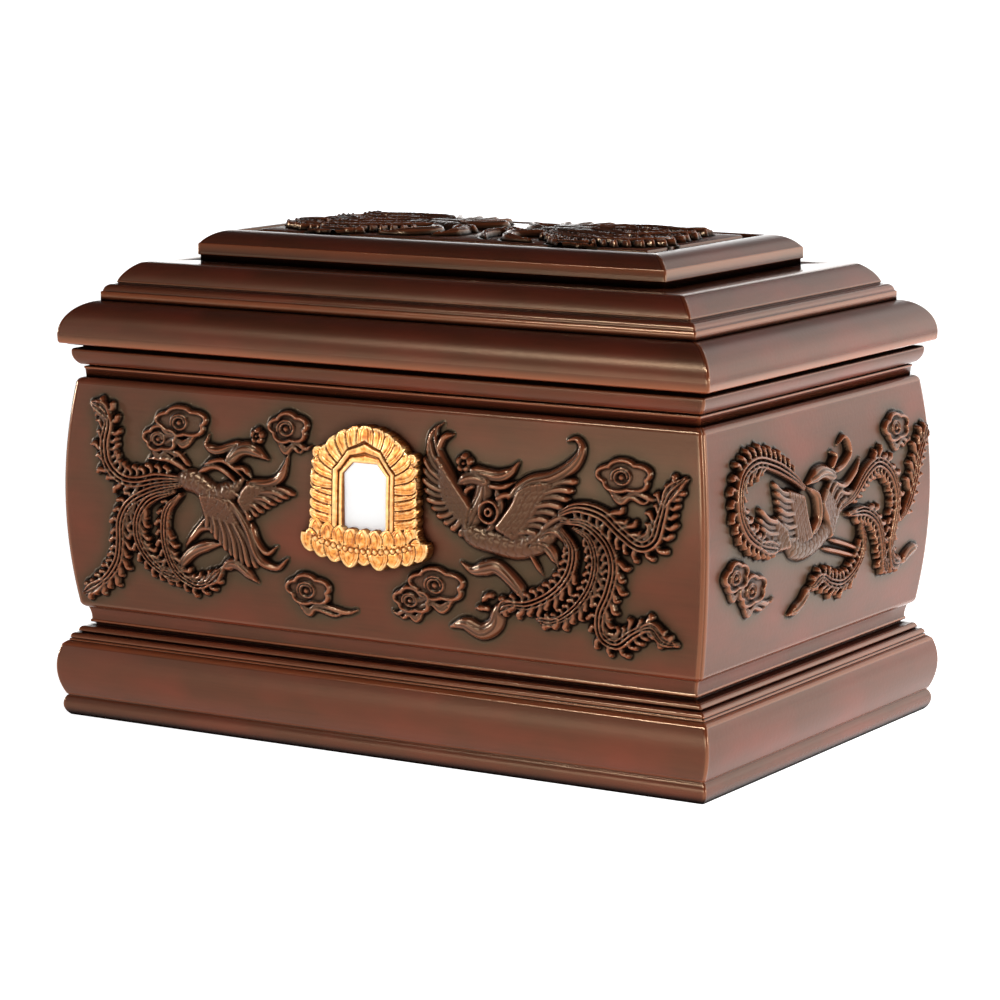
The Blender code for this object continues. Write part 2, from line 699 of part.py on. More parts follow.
def opening_corners(grow):
    """The opening's outline, with its two upper corners cut off, grown outwards."""
    half = OPENING_WIDTH / 2 + grow
    low = -OPENING_DROP - grow
    high = low + OPENING_HEIGHT + 2 * grow
    return [(half, low), (half, high - OPENING_CHAMFER), (half - OPENING_CHAMFER, high),
            (OPENING_CHAMFER - half, high), (-half, high - OPENING_CHAMFER), (-half, low)]


def reach_to(corners, turn):
    """Distance from the middle to a convex outline, in one direction."""
    ray = Vector((cos(turn), sin(turn)))
    best = 0.0
    for a, b in zip(corners, corners[1:] + corners[:1]):
        side = Vector((b[1] - a[1], a[0] - b[0]))
        facing = side.dot(ray)
        if facing > 1e-9:
            reach = side.dot(Vector(a)) / facing
            best = reach if best == 0.0 else min(best, reach)
    return best


def frame_turns():
    """Directions of the frame's stations: two to a lobe, and one on each opening corner."""
    count = 2 * FRAME_LOBES
    turns = [2 * pi * (i + 0.5) / count for i in range(count)]
    for corner in opening_corners(0):
        turn = atan2(corner[1], corner[0]) % (2 * pi)
        nearest = min(range(count), key=lambda i: abs(turns[i] - turn))
        turns[nearest] = turn
    return turns


def portrait_frame(place, surface):
    """The cast gilt frame: lobed rim, hollow, plain inner band and the opening."""
    centre_z = FRAME_CENTRE_HEIGHT + CASE_Z
    wall = DEPTH / 2 - CASE_CROWN
    opening = opening_corners(0)
    rebate = opening_corners(REBATE_WIDTH)

    def follow(v, lift):
        """Depth of the wall face at a height, lifted."""
        return case_inset(v) - DEPTH / 2 - lift

    bm = bmesh.new()
    rings = [[] for _ in range(9)]
    for index, turn in enumerate(frame_turns()):
        edge = frame_reach(turn) - (LOBE_DEPTH if index % 2 else 0.0)
        inner = reach_to(opening, turn)
        seat = reach_to(rebate, turn)
        band = inner + FRAME_BAND
        stations = [
            (edge - 0.6, None, GAP),
            (edge, None, FRAME_PROUD * 0.35),
            (edge - 2.0, None, FRAME_PROUD * 0.8),
            ((edge + band) / 2, None, FRAME_PROUD * 0.95),
            (band + 0.8, wall + FRAME_PROUD * 0.45, 0),
            (band, wall + FRAME_PROUD * 0.62, 0),
            (inner, wall + FRAME_PROUD * 0.5, 0),
            (inner, wall + REBATE_DEPTH, 0),
            (seat, wall + REBATE_DEPTH, 0),
        ]
        for ring, (reach, depth, lift) in zip(rings, stations):
            u, v = reach * cos(turn), centre_z + reach * sin(turn)
            y = follow(v, lift) if depth is None else -depth
            ring.append(bm.verts.new(at(u, y, v)))
    back = []
    for vert, turn in zip(rings[-1], frame_turns()):
        back.append(bm.verts.new(at(vert.co.x / MM, follow(vert.co.z / MM, GAP), vert.co.z / MM)))
    rings.append(back)
    rings.append(rings[0])
    count = len(rings[0])
    for first, second in zip(rings, rings[1:]):
        for i in range(count):
            bm.faces.new((first[i - 1], first[i], second[i], second[i - 1]))
    return mesh_object("portrait_frame", bm, place, surface)


def portrait_card(place, surface):
    """The bare card, flat, in the rebate behind the frame's opening."""
    centre_z = FRAME_CENTRE_HEIGHT + CASE_Z
    corners = opening_corners(REBATE_WIDTH - CARD_CLEARANCE)
    front = -(DEPTH / 2 - CASE_CROWN + REBATE_DEPTH - GAP)
    bm = bmesh.new()
    verts = [bm.verts.new(at(u, front, centre_z + v)) for u, v in corners]
    face = bm.faces.new(verts)
    grown = bmesh.ops.extrude_face_region(bm, geom=[face])
    moved = [item for item in grown["geom"] if isinstance(item, bmesh.types.BMVert)]
    bmesh.ops.translate(bm, verts=moved, vec=Vector((0, CARD_THICKNESS * MM, 0)))
    return mesh_object("portrait_card", bm, place, surface)


def build():
    """Make every piece of the urn."""
    for item in list(bpy.data.objects):
        bpy.data.objects.remove(item)
    urn = collection("cremation_urn")
    cutters = collection("cutters")
    wood = material("rosewood", (0.15, 0.07, 0.045), 0.35)
    plain_wood = material("plain_wood", (0.28, 0.15, 0.08), 0.6)
    gilt = material("gilt", (0.85, 0.5, 0.16), 0.35, 1.0)
    card = material("card", (0.9, 0.9, 0.88), 0.6)

    mitred_frame("base_moulding", base_section(), urn, wood)
    mitred_frame("lower_neck_moulding", neck_section(), urn, wood)
    mitred_frame("upper_cornice", cornice_section(), urn, wood)
    mitred_frame("lid_rim", rim_section(), urn, wood)
    mitred_frame("lid_tier", tier_section(), urn, wood)
    board("floor_board", LENGTH / 2 - WALL_INSET - GAP, DEPTH / 2 - WALL_INSET - GAP,
          LEDGE_HEIGHT + GAP, FLOOR_THICKNESS, urn, plain_wood)

    corners = {"front": ((-1, -1), (1, -1)), "right": ((1, -1), (1, 1)),
               "back": ((1, 1), (-1, 1)), "left": ((-1, 1), (-1, -1))}
    walls = {side: mitred_board(side + "_panel", wall_section(), ends, urn, wood)
             for side, ends in corners.items()}

    front = bird(on_front, RIGHT_BIRD) + bird(on_front, LEFT_BIRD) + clouds(on_front, FRONT_CLOUDS)
    carve(walls["front"], front, cutters)
    carve(walls["right"], bird(on_right, SIDE_BIRD) + clouds(on_right, SIDE_CLOUDS), cutters)
    carve(walls["left"], bird(on_left, SIDE_BIRD) + clouds(on_left, SIDE_CLOUDS), cutters)
    carve(walls["back"], clouds(on_back, BACK_CLOUDS), cutters)
    cap = solid_cap("lid_cap", urn, wood)
    carve(cap, bird(on_cap, CAP_HALF_BIRD) + bird(on_cap, CAP_HALF_BIRD, -1), cutters)

    portrait_frame(urn, gilt)
    portrait_card(urn, card)


build()
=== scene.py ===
"""The looks of the carved rosewood urn.

Mouldings are swept round the box, and the boards carry their relief as fine height fields. Sizes
and drawn places are in millimetres; a drawn place is across from the board's middle and up from
the floor.
"""
from math import atan2, cos, hypot, pi, radians, sin

import bpy
import numpy as np
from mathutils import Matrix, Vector


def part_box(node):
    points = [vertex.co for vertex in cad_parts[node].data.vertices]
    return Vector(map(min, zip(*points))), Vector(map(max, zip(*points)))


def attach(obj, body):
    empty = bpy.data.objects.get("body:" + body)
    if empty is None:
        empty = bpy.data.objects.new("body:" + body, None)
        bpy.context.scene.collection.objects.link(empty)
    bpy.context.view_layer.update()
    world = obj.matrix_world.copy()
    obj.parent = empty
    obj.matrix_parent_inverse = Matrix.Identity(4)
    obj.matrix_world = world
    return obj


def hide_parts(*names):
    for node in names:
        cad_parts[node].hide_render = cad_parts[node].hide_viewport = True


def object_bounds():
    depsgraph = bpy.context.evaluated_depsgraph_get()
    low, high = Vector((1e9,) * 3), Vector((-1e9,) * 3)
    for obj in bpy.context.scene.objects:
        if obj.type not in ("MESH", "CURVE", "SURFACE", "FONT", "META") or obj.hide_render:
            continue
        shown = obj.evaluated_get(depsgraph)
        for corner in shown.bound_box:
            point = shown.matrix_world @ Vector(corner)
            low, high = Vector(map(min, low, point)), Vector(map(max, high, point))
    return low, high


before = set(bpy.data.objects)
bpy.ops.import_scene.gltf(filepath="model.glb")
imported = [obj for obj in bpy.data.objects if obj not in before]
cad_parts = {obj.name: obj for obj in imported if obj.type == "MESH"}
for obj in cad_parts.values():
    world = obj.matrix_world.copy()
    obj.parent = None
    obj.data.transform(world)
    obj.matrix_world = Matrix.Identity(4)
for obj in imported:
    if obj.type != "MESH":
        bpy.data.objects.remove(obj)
cad_low, cad_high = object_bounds()

MM = 0.001

# Outer size and the heights of the courses, read from the frame
base_low, base_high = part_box("base_moulding")
HALF_X = (base_high[0] - base_low[0]) / 2 / MM
HALF_Y = (base_high[1] - base_low[1]) / 2 / MM
SHIFT_Y = (base_high[1] + base_low[1]) / 2 / MM
BASE_TOP = base_high[2] / MM
CASE_LOW, CASE_HIGH = (corner[2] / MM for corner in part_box("front_panel"))
CORNICE_LOW, CORNICE_HIGH = (corner[2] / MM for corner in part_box("upper_cornice"))
RIM_LOW, RIM_HIGH = (corner[2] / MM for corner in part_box("lid_rim"))
TIER_LOW, TIER_HIGH = (corner[2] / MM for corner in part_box("lid_tier"))
CAP_LOW, CAP_TOP = (corner[2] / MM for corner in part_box("lid_cap"))
CASE_MIDDLE = (CASE_LOW + CASE_HIGH) / 2

# Insets of the faces from the outer size, and other sizes that the solids share
WALL_INSET = 22.0
CASE_CROWN = 4.0
CASE_BULGE = 4.6
CASE_EDGE = 3.2
CASE_MARGIN = 8.0
LIP_CLEARANCE = 0.6
LIP_THICKNESS = 7.0
LIP_DEPTH = 8.0
RIM_WIDTH = 38.0
CAP_INSET = 48.4
CAP_EDGE_WIDTH = 13.8
CAP_RELIEF = 3.8
CAP_FACE = CAP_TOP - CAP_RELIEF
TIER_INNER = 61.4
PANEL_HALF_X = 103
PANEL_HALF_Y = 46
OPENING_HALF = 11.2
OPENING_TOP = 129.6
OPENING_CUT = 5.0
JOINT = 0.29

# Rounding of the arrises, and how closely things are sampled; WHOLE_SIDE is longer than any side,
# so that a plain moulding has no points between its corners
MITRE_RADIUS = 0.8
CASE_RADIUS = 2.2
ARC_STEPS = 14
ARRIS_FADE = 1.2
WALL_GRID = 3.0
WHOLE_SIDE = 400.0
RELIEF_GRID = 0.44
GILT_GRID = 0.3
STAMP_STEP = 0.3
BARB_STEP = 0.4
FINE_STEP = 0.1

# Tone is how convex or hollow a place is: it paints highlights, with some rubbing, on the arrises and
# crests, and painted shade in the hollows. The arrises with an inset under OUTER_BAND, and all those
# over the lid's rim, are on the outside and take the painted highlight.
SHARP_TURN = 0.6
ARRIS_TONE = 0.6
OUTER_BAND = 18.0
TONE_RISE = 0.6
RELIEF_BLUR = 0.95
GILT_BLUR = 0.8

# The height fields of the carving and of the gilt frame, the dark ground round the carving, and the
# low skirt round its foot that carries painted shade
EDGE_SLOPE = 0.7
THINNEST = 0.35
SUNK = -1.0
SUNK_SHOWN = -0.4
SHEET_LIFT = 0.05
CARVED = 0.1
OUTLINE_REACH = 1.0
OUTLINE_SHARE = 0.05
RELIEF_GROUND = 0.5
GROUND_RISE = 0.9
GROUND_REACH = 5.0
GROUND_GAIN = 2.2
GROUND_STRIDE = 4
GILT_DROP = -1.0

# The gilt frame: its shift from the wall's middle, its arch and foot, and the fan of petals
GILT_SHIFT = 0.7
ARCH_HALF = 26.0
ARCH_SPRING = 118.0
ARCH_RISE = 26.5
ARCH_POWER = 2.6
FOOT_HALF = 29.0
PLATE_HEIGHT = 3.3
FAN_CENTRE = 120.0
BEAD_PITCH = 3.05
DIAGONAL = 1.4142

# Heights, widths and spacing of the carving
PLUME_HEIGHT = 3.5
PLUME_PITCH = 4.3
FINGER_WIDTH = 3.0
FINGER_TIP = 1.45
FLAME_WIDTH = 3.3
FLAME_TIP = 1.0
FEATHER_HEIGHT = 3.2
FEATHER_BEND = 0.08
COVERT_HEIGHT = 3.6
COVERT_ROWS = 4
BODY_HEIGHT = 3.4
SCALLOP_PITCH = 3.6
VEINED_WIDTH = 4.2
CLOUD_FILL = 1.5
CLOUD_RIM = 2.9
CLOUD_CURL = 2.7
CLOUD_BOSS = 3.1
CLOUD_TAIL = 2.6
ROSETTE_HEIGHT = 3.6


def arc(start, end, swell, steps=ARC_STEPS):
    """Points on an arc from start to end; a positive swell turns it left of the way."""
    (x0, y0), (x1, y1) = start, end
    chord = hypot(x1 - x0, y1 - y0)
    half = 2 * atan2(2 * abs(swell), 1)
    radius = chord / 2 / sin(half)
    along = Vector((x1 - x0, y1 - y0)) / chord
    across = Vector((-along.y, along.x)) * (1 if swell > 0 else -1)
    centre = (Vector(start) + Vector(end)) / 2 - across * radius * cos(half)
    turns = [-half + 2 * half * step / steps for step in range(steps + 1)]
    return [tuple(centre + along * radius * sin(t) + across * radius * cos(t)) for t in turns]


def case_inset(z):
    """Inset of the bulging wall face at a height."""
    share = (z - CASE_MIDDLE) / ((CASE_HIGH - CASE_LOW) / 2)
    return CASE_CROWN + CASE_BULGE * share ** 2


def base_profile():
    """Bottom bead, quirk, torus and the ledge inside."""
    return [
        *arc((5.0, 0.0), (3.7, 8.8), 0.2), (4.3, 9.3),
        *arc((3.6, 9.9), (2.6, 33.2), 0.108, 24), (4.3, BASE_TOP + JOINT),
        (WALL_INSET, BASE_TOP), (WALL_INSET, 12.0), (34.0, 12.0), (34.0, 0.0),
    ]


def neck_profile():
    """Two beads above the torus, a deep quirk, and the fillet and neck under the case."""
    z = BASE_TOP
    return [
        (4.9, z), (4.9, z + 1.2), (6.0, z + 1.4), *arc((5.2, z + 1.8), (7.3, z + 3.9), 0.24, 6),
        (9.0, z + 4.0), (9.0, z + 4.5), *arc((7.9, z + 4.6), (10.3, z + 6.8), 0.24, 6),
        (11.6, z + 7.0), (13.6, z + 7.2), (13.6, z + 8.4), (11.9, z + 8.6), (11.9, z + 9.6),
        (12.4, z + 9.9), *arc((12.4, z + 10.0), (11.2, CASE_LOW + 0.2), -0.05, 6),
        (WALL_INSET, CASE_LOW - 0.1), (WALL_INSET, z + 0.1),
    ]


def case_profile():
    """The bulging wall with rounded edges and a flat inner face."""
    low, high = CASE_LOW + CASE_EDGE, CASE_HIGH - CASE_EDGE
    rows = round((high - low) / WALL_GRID)
    face = [(case_inset(z), z) for z in np.linspace(low, high, rows + 1)]
    edge = case_inset(low) + CASE_EDGE
    return [
        *arc((edge, CASE_LOW), (face[0][0], low), 0.2, 8)[:-1], *face,
        *arc((face[-1][0], high), (edge, CASE_HIGH), 0.2, 8)[1:],
        (WALL_INSET, CASE_HIGH), (WALL_INSET, CASE_LOW),
    ]


def cornice_profile():
    """The upper neck, its fillet, and the inverted ovolo under the seam of the lid."""
    z = CORNICE_LOW
    return [
        (11.9, z - JOINT), (11.6, z + 3.2), (11.3, z + 3.4), (11.2, z + 4.4), (12.9, z + 4.6),
        (12.9, z + 5.2), (10.2, z + 5.4), *arc((9.6, z + 5.8), (7.3, z + 12.0), 0.12),
        (7.8, z + 12.7), (11.0, z + 12.9), (11.0, CORNICE_HIGH), (WALL_INSET, CORNICE_HIGH), (WALL_INSET, z),
    ]


def rim_profile():
    """The big ovolo of the lid, with its lip inside the box."""
    lip = WALL_INSET + LIP_CLEARANCE
    low = RIM_LOW + LIP_DEPTH
    return [
        (6.4, low), (5.6, low + 0.4), (3.4, low + 0.8), (2.9, low + 1.6),
        *arc((2.75, low + 4.4), (16.8, RIM_HIGH), 0.19, 28),
        (RIM_WIDTH, RIM_HIGH), (RIM_WIDTH, low), (lip + LIP_THICKNESS, low),
        (lip + LIP_THICKNESS, RIM_LOW), (lip, RIM_LOW), (lip, low),
    ]


def tier_profile():
    """Fillet, small ovolo, quirk and the wider ovolo that carries the cap."""
    z = TIER_LOW - JOINT
    return [
        (16.9, z), (16.9, z + 3.9), (17.4, z + 4.1),
        *arc((17.7, z + 4.4), (21.0, z + 7.3), 0.2, 8), (22.4, z + 7.4), (22.5, z + 7.8),
        *arc((22.1, z + 8.3), (30.0, TIER_HIGH - 0.4), 0.085), (33.0, TIER_HIGH),
        (TIER_INNER, TIER_HIGH), (TIER_INNER, TIER_LOW),
    ]


def cap_profile():
    """Foot, red fillet and ovolo, the channel, and up on to the raised panel."""
    z = CAP_LOW - JOINT
    face = CAP_INSET
    edge = CAP_INSET + CAP_EDGE_WIDTH
    return [
        (face + 0.9, z), (face + 0.9, z + 2.4), *arc((face + 0.3, z + 2.6), (face, z + 3.2), 0.2, 4),
        (face + 0.1, z + 7.4), (face + 0.4, z + 7.9),
        *arc((face + 0.7, z + 8.1), (edge - 0.6, CAP_FACE - 0.1), 0.13), (edge, CAP_FACE - 0.4),
        (edge + 0.3, CAP_FACE - 2.0), (edge + 6.4, CAP_FACE - 2.0),
        (edge + 6.6, CAP_FACE - 0.4), (edge + 7.0, CAP_FACE),
    ]


def side_path(inset, radius, half_long, half_deep, spacing):
    """Points along the front of a rectangle, from the middle of one corner to that of the next.

    The third value of each point is 1 on the rounded arris, and falls to 0 on the straight.
    """
    far = half_long - inset - radius
    out = -(half_deep - inset - radius)
    fade = [0.35 * ARRIS_FADE, ARRIS_FADE]
    inner = far - ARRIS_FADE - 0.5
    count = max(1, round(2 * half_long / spacing))
    turns = [radians(d) for d in (225, 247.5, 270)]
    points = [(-far + radius * cos(t), out + radius * sin(t), 1.0) for t in turns]
    points += [(-far + f, out - radius, 0.5 if f < ARRIS_FADE else 0.0) for f in fade]
    points += [(inner * (2 * i / count - 1), out - radius, 0.0) for i in range(count + 1)]
    points += [(far - f, out - radius, 0.5 if f < ARRIS_FADE else 0.0) for f in reversed(fade)]
    points += [(far + radius * cos(t), out + radius * sin(t), 1.0) for t in
               (radians(d) for d in (270, 292.5, 315))]
    return np.array(points)


def turned(points, quarter):
    """Turn a path by quarter turns, so that the front becomes another side."""
    x, y = points[:, 0].copy(), points[:, 1].copy()
    for _ in range(quarter):
        x, y = -y, x
    return np.stack([x, y, points[:, 2]], axis=1)


def profile_tone(profile):
    """How convex (positive) or hollow (negative) a profile is at each point, from -1 to 1."""
    points = np.array(profile)
    before, after = np.roll(points, 1, axis=0), np.roll(points, -1, axis=0)
    first, second = points - before, after - points
    lengths = np.hypot(*first.T), np.hypot(*second.T)
    cross = first[:, 0] * second[:, 1] - first[:, 1] * second[:, 0]
    turn = np.arcsin(np.clip(cross / np.maximum(lengths[0] * lengths[1], 1e-9), -1, 1))
    return np.clip(-turn / SHARP_TURN, -1, 1)


def mesh_object(name, points, faces, tones=None, grain=None, grounds=None):
    """A smooth-shaded mesh, with its tone, ground and grain layers."""
    mesh = bpy.data.meshes.new(name)
    mesh.from_pydata((np.asarray(points) * MM).tolist(), [], faces)
    for label, values in (("tone", tones), ("ground", grounds)):
        if values is not None:
            layer = mesh.attributes.new(label, "FLOAT", "POINT")
            layer.data.foreach_set("value", np.ascontiguousarray(values, np.float32))
    if grain is not None:
        layer = mesh.uv_layers.new(name="grain")
        corners = np.empty(len(mesh.loops), np.int32)
        mesh.loops.foreach_get("vertex_index", corners)
        layer.data.foreach_set("uv", np.asarray(grain, np.float32)[corners].ravel())
    mesh.shade_smooth()
    result = bpy.data.objects.new(name, mesh)
    bpy.context.scene.collection.objects.link(result)
    return result


def swept(name, profile, radius, sides, spacing=WHOLE_SIDE, closed=True, ground=None):
    """Sweep a profile along one side, or round all four, with mitred and eased corners."""
    rows = []
    for inset, z in profile:
        row = []
        for quarter in sides:
            half = (HALF_X, HALF_Y) if quarter % 2 == 0 else (HALF_Y, HALF_X)
            path = turned(side_path(inset, radius, *half, spacing), quarter)
            row.append(path if len(sides) == 1 else path[:-1])
        row = np.concatenate(row)
        rows.append(np.column_stack([row[:, 0], row[:, 1] + SHIFT_Y, np.full(len(row), z), row[:, 2]]))
    grid = np.array(rows)
    count_rows, count = grid.shape[:2]
    all_round = len(sides) == 4
    along = np.concatenate([[0], np.cumsum(np.hypot(*np.diff(grid[len(grid) // 3, :, :2], axis=0).T))])
    around = np.concatenate([[0], np.cumsum(np.hypot(*np.diff(np.array(profile), axis=0).T))])
    tones = np.repeat(profile_tone(profile), count).reshape(count_rows, count)
    outer = np.array([inset < OUTER_BAND or z > RIM_HIGH for inset, z in profile])
    # The rounded arrises of the outer courses raise the tone, which paints a highlight with some rubbing on
    # them
    arris = grid[:, :, 3] * np.where(outer, ARRIS_TONE, 0.0)[:, None]
    tones = np.clip(np.maximum(tones, arris), -1, 1)
    grain = np.stack(np.broadcast_arrays(along[None, :], around[:, None]), axis=2).reshape(-1, 2)
    last_row = count_rows if closed else count_rows - 1
    last = count if all_round else count - 1
    faces = []
    for r in range(last_row):
        r2 = (r + 1) % count_rows
        for c in range(last):
            c2 = (c + 1) % count
            faces.append((r * count + c, r * count + c2, r2 * count + c2, r2 * count + c))
    if not all_round:
        faces.append([r * count for r in range(count_rows)])
        faces.append([r * count + count - 1 for r in reversed(range(count_rows))])
    if not closed:
        faces.append(list(range(count))[::-1])
        faces.append([(count_rows - 1) * count + c for c in range(count)])
    grounds = ground(grid) if ground else np.zeros((count_rows, count))
    return mesh_object(name, grid[:, :, :3].reshape(-1, 3), faces, tones.ravel(), grain, grounds.ravel())


def curve_points(points, step=STAMP_STEP):
    """Points at an even step along a smooth curve through the given ones."""
    knots = np.array(points, float)
    knots = np.vstack([2 * knots[0] - knots[1], knots, 2 * knots[-1] - knots[-2]])
    t = np.linspace(0, 1, 24, endpoint=False)[:, None]
    pieces = []
    for a, b, c, d in zip(knots, knots[1:], knots[2:], knots[3:]):
        bend = (2 * a - 5 * b + 4 * c - d) * t ** 2 + (3 * b - a - 3 * c + d) * t ** 3
        pieces.append(b + (c - a) * t / 2 + bend / 2)
    fine = np.vstack([*pieces, knots[-2][None]])
    reach = np.concatenate([[0], np.cumsum(np.hypot(*np.diff(fine, axis=0).T))])
    goals = np.linspace(0, reach[-1], max(2, int(reach[-1] / step) + 1))
    return np.stack([np.interp(goals, reach, fine[:, 0]), np.interp(goals, reach, fine[:, 1])], axis=1)


def directions(path):
    """Unit vectors along a sampled path, and across it to the left."""
    ahead = np.gradient(path, axis=0)
    ahead /= np.maximum(np.hypot(*ahead.T), 1e-9)[:, None]
    return ahead, np.stack([-ahead[:, 1], ahead[:, 0]], axis=1)


def blurred(values, sigma):
    """A Gaussian blur of a grid, sigma in cells."""
    reach = int(3 * sigma) + 1
    kernel = np.exp(-0.5 * (np.arange(-reach, reach + 1) / sigma) ** 2)
    kernel /= kernel.sum()
    for axis in (0, 1):
        padded = np.pad(values, [(reach, reach) if a == axis else (0, 0) for a in (0, 1)], mode="edge")
        size = values.shape[axis]
        values = sum(k * padded.take(range(i, i + size), axis=axis) for i, k in enumerate(kernel))
    return values


class Relief:
    """A height field over a drawn rectangle: below zero it is sunk in the board."""

    def __init__(self, low_u, high_u, low_v, high_v, flip=1):
        self.u = np.arange(low_u, high_u, RELIEF_GRID)
        self.v = np.arange(low_v, high_v, RELIEF_GRID)
        self.height = np.full((len(self.v), len(self.u)), SUNK)
        self.flip = flip

    def window(self, u, v, reach):
        """The part of the grid around a drawn point, and the distance of its cells."""
        u = self.flip * u
        i0, i1 = np.searchsorted(self.u, (u - reach, u + reach))
        j0, j1 = np.searchsorted(self.v, (v - reach, v + reach))
        part = self.height[j0:j1, i0:i1]
        apart = np.hypot(self.u[None, i0:i1] - u, self.v[j0:j1, None] - v)
        return part, apart

    def stamp(self, u, v, radius, height):
        """Raise a round bump; its foot slopes down under the board."""
        part, apart = self.window(u, v, radius + EDGE_SLOPE)
        if part.size:
            inside = height * np.clip(1 - (apart / radius) ** 2, 0, None) ** 0.62
            outside = -(apart - radius) / EDGE_SLOPE
            np.maximum(part, np.where(apart < radius, inside, outside), out=part)

    def dent(self, u, v, radius, depth):
        """Lower what is raised around a point."""
        part, apart = self.window(u, v, radius)
        if part.size:
            part -= np.where(part > 0.2, depth * np.clip(1 - (apart / radius) ** 2, 0, None), 0)

    def stroke(self, points, width, height, root=0.5, tip=0.12, step=STAMP_STEP):
        """A rounded ridge along a path, narrow at its root and drawn out to its tip."""
        path = curve_points(points, step)
        share = np.linspace(0, 1, len(path))
        taper = np.minimum(1, root + 4 * share) * np.minimum(1, tip + 2.6 * (1 - share))
        for (u, v), t in zip(path, taper):
            self.stamp(u, v, max(THINNEST, width / 2 * t), height * min(1, 0.45 + 0.6 * t))

    def groove(self, points, width, depth):
        """An engraved line along a path, each of whose dents takes a share of the depth."""
        for u, v in curve_points(points, STAMP_STEP * 1.5):
            self.dent(u, v, width, depth * 0.35)


def plume(relief, points, width):
    """A tail plume: a grooved ribbon for the shaft, fingers on one side and flames on the other."""
    path = curve_points(points)
    ahead, across = directions(path)
    count = len(path)
    share = np.linspace(0, 1, count)
    taper = np.minimum(1, 0.4 + 3.2 * share) * np.minimum(1, 0.4 + 2.2 * (1 - share))
    every = int(PLUME_PITCH / STAMP_STEP)
    height = PLUME_HEIGHT
    for order, k in enumerate(range(every, int(count * 0.95), every)):
        for side in (-1, 1):
            p, a, n, t = path[k], ahead[k], side * across[k], taper[k]
            root = p + n * width * 0.16 * t
            if side < 0 and share[k] > 0.1:
                reach = width * (0.5 + 0.1 * (order % 2)) * t
                way = (root, root + n * reach * 0.6 - a * 0.5, root + n * reach + a * reach * 0.3)
                relief.stroke(way, FINGER_WIDTH, height * 0.85, 0.9, 0.8, BARB_STEP)
                relief.stamp(*way[-1], FINGER_TIP, height * 0.98)
            elif side > 0 and share[k] > 0.3:
                reach = width * (0.42 + 0.26 * (order % 2)) * t
                way = (root - a * 1.2, root + n * reach * 0.45 + a * 0.6,
                       root + n * reach * 0.8 + a * 2.4, root + n * reach * 1.12 + a * 2.2)
                relief.stroke(way, FLAME_WIDTH, height * 0.9, 1.0, 0.5, BARB_STEP)
                relief.stamp(*way[-1], FLAME_TIP, height * 0.9)
    relief.stroke(path[::6], width * 0.66, height * 0.5, root=0.6, tip=0.3)
    for place, wide in ((-0.21, 0.24), (0.03, 0.24), (0.25, 0.18)):
        rail = path + across * (place * width * taper)[:, None]
        relief.stroke(rail[::8], width * wide, height * 1.08, root=0.6, tip=0.5)
    start = int(count * 0.8)
    leaf = path[start:]
    bow = np.sin(np.linspace(0, pi, len(leaf)))[:, None] * across[start:]
    relief.stroke(leaf[::6], width * 0.85, height * 0.7, root=0.35, tip=0.1)
    for place in (-0.26, 0.04, 0.32):
        relief.stroke((leaf + bow * place * width)[::5], width * 0.23, height * 1.08, root=0.5, tip=0.3)


def at_share(points, share):
    """The point of a sampled path at a share of its length."""
    return points[int(share * (len(points) - 1))]


def feathers(relief, cover, tips, count, width):
    """A fan of long blunt feathers, each with its quill, from the coverts to the tips."""
    roots, ends = curve_points(cover, FINE_STEP), curve_points(tips, FINE_STEP)
    for order, share in enumerate(np.linspace(0, 1, count)):
        root, end = at_share(roots, share), at_share(ends, share)
        bow = np.array([root[1] - end[1], end[0] - root[0]]) * FEATHER_BEND
        way = (root, (root + end) / 2 + bow, end)
        relief.stroke(way, width * 1.08, FEATHER_HEIGHT * (0.8 + 0.2 * (order % 2)), 0.9, 0.7)
        relief.groove(way, 0.45, 0.4)


def scallop(relief, at, side, out, width, depth):
    """A curved line engraved under the edge of a small feather."""
    relief.groove((at - side - out, at, at + side - out), width, depth)


def coverts(relief, bone, cover):
    """The shoulder of a wing: a smooth swelling with rows of shallow scallops."""
    inner, outer = curve_points(bone, FINE_STEP), curve_points(cover, FINE_STEP)
    length = max(3, int(np.hypot(*(inner[-1] - inner[0])) / 3.6))
    for share in np.linspace(0, 1, 7):
        for along in np.linspace(0, 1, length * 4):
            a, b = at_share(inner, along), at_share(outer, along)
            relief.stamp(*(a + (b - a) * share), 2.6, COVERT_HEIGHT * (1.1 - 0.28 * share))
    for row in range(1, COVERT_ROWS + 1):
        for i in range(length + 1):
            along = min(1.0, (i + 0.5 * (row % 2)) / length)
            a, b = at_share(inner, along), at_share(outer, along)
            out = (b - a) / max(np.hypot(*(b - a)), 1e-9)
            side = np.array([-out[1], out[0]]) * 1.8
            scallop(relief, a + (b - a) * row / COVERT_ROWS, side, out, 0.5, 0.3)


def scales(relief, points, width):
    """Scalloped feathers over the body, in overlapping rows."""
    pitch = SCALLOP_PITCH
    path = curve_points(points)
    ahead, across = directions(path)
    every = int(pitch / STAMP_STEP)
    for row, k in enumerate(range(every, len(path), every)):
        for place in np.arange(-width / 2, width / 2 + 0.1, pitch):
            at = path[k] + across[k] * (place + pitch / 2 * (row % 2))
            scallop(relief, at, across[k] * pitch * 0.5, ahead[k] * pitch * 0.35, 0.6, 0.36)


def veins(relief, points, width):
    """Two lines engraved along a broad stroke, so that it reads as a folded leaf."""
    path = curve_points(points)
    across = directions(path)[1]
    count = len(path)
    bow = np.sin(np.linspace(0, pi, count))[:, None] * across * width
    for place in (-0.2, 0.16):
        line = (path + bow * place)[int(0.08 * count):int(0.9 * count):6]
        relief.groove(line, 0.6, 0.75)


def ring(relief, u, v, radius, width, height):
    """A round ornament: a raised ring."""
    for turn in np.linspace(0, 2 * pi, 48, endpoint=False):
        relief.stamp(u + radius * cos(turn), v + radius * sin(turn), width / 2, height)


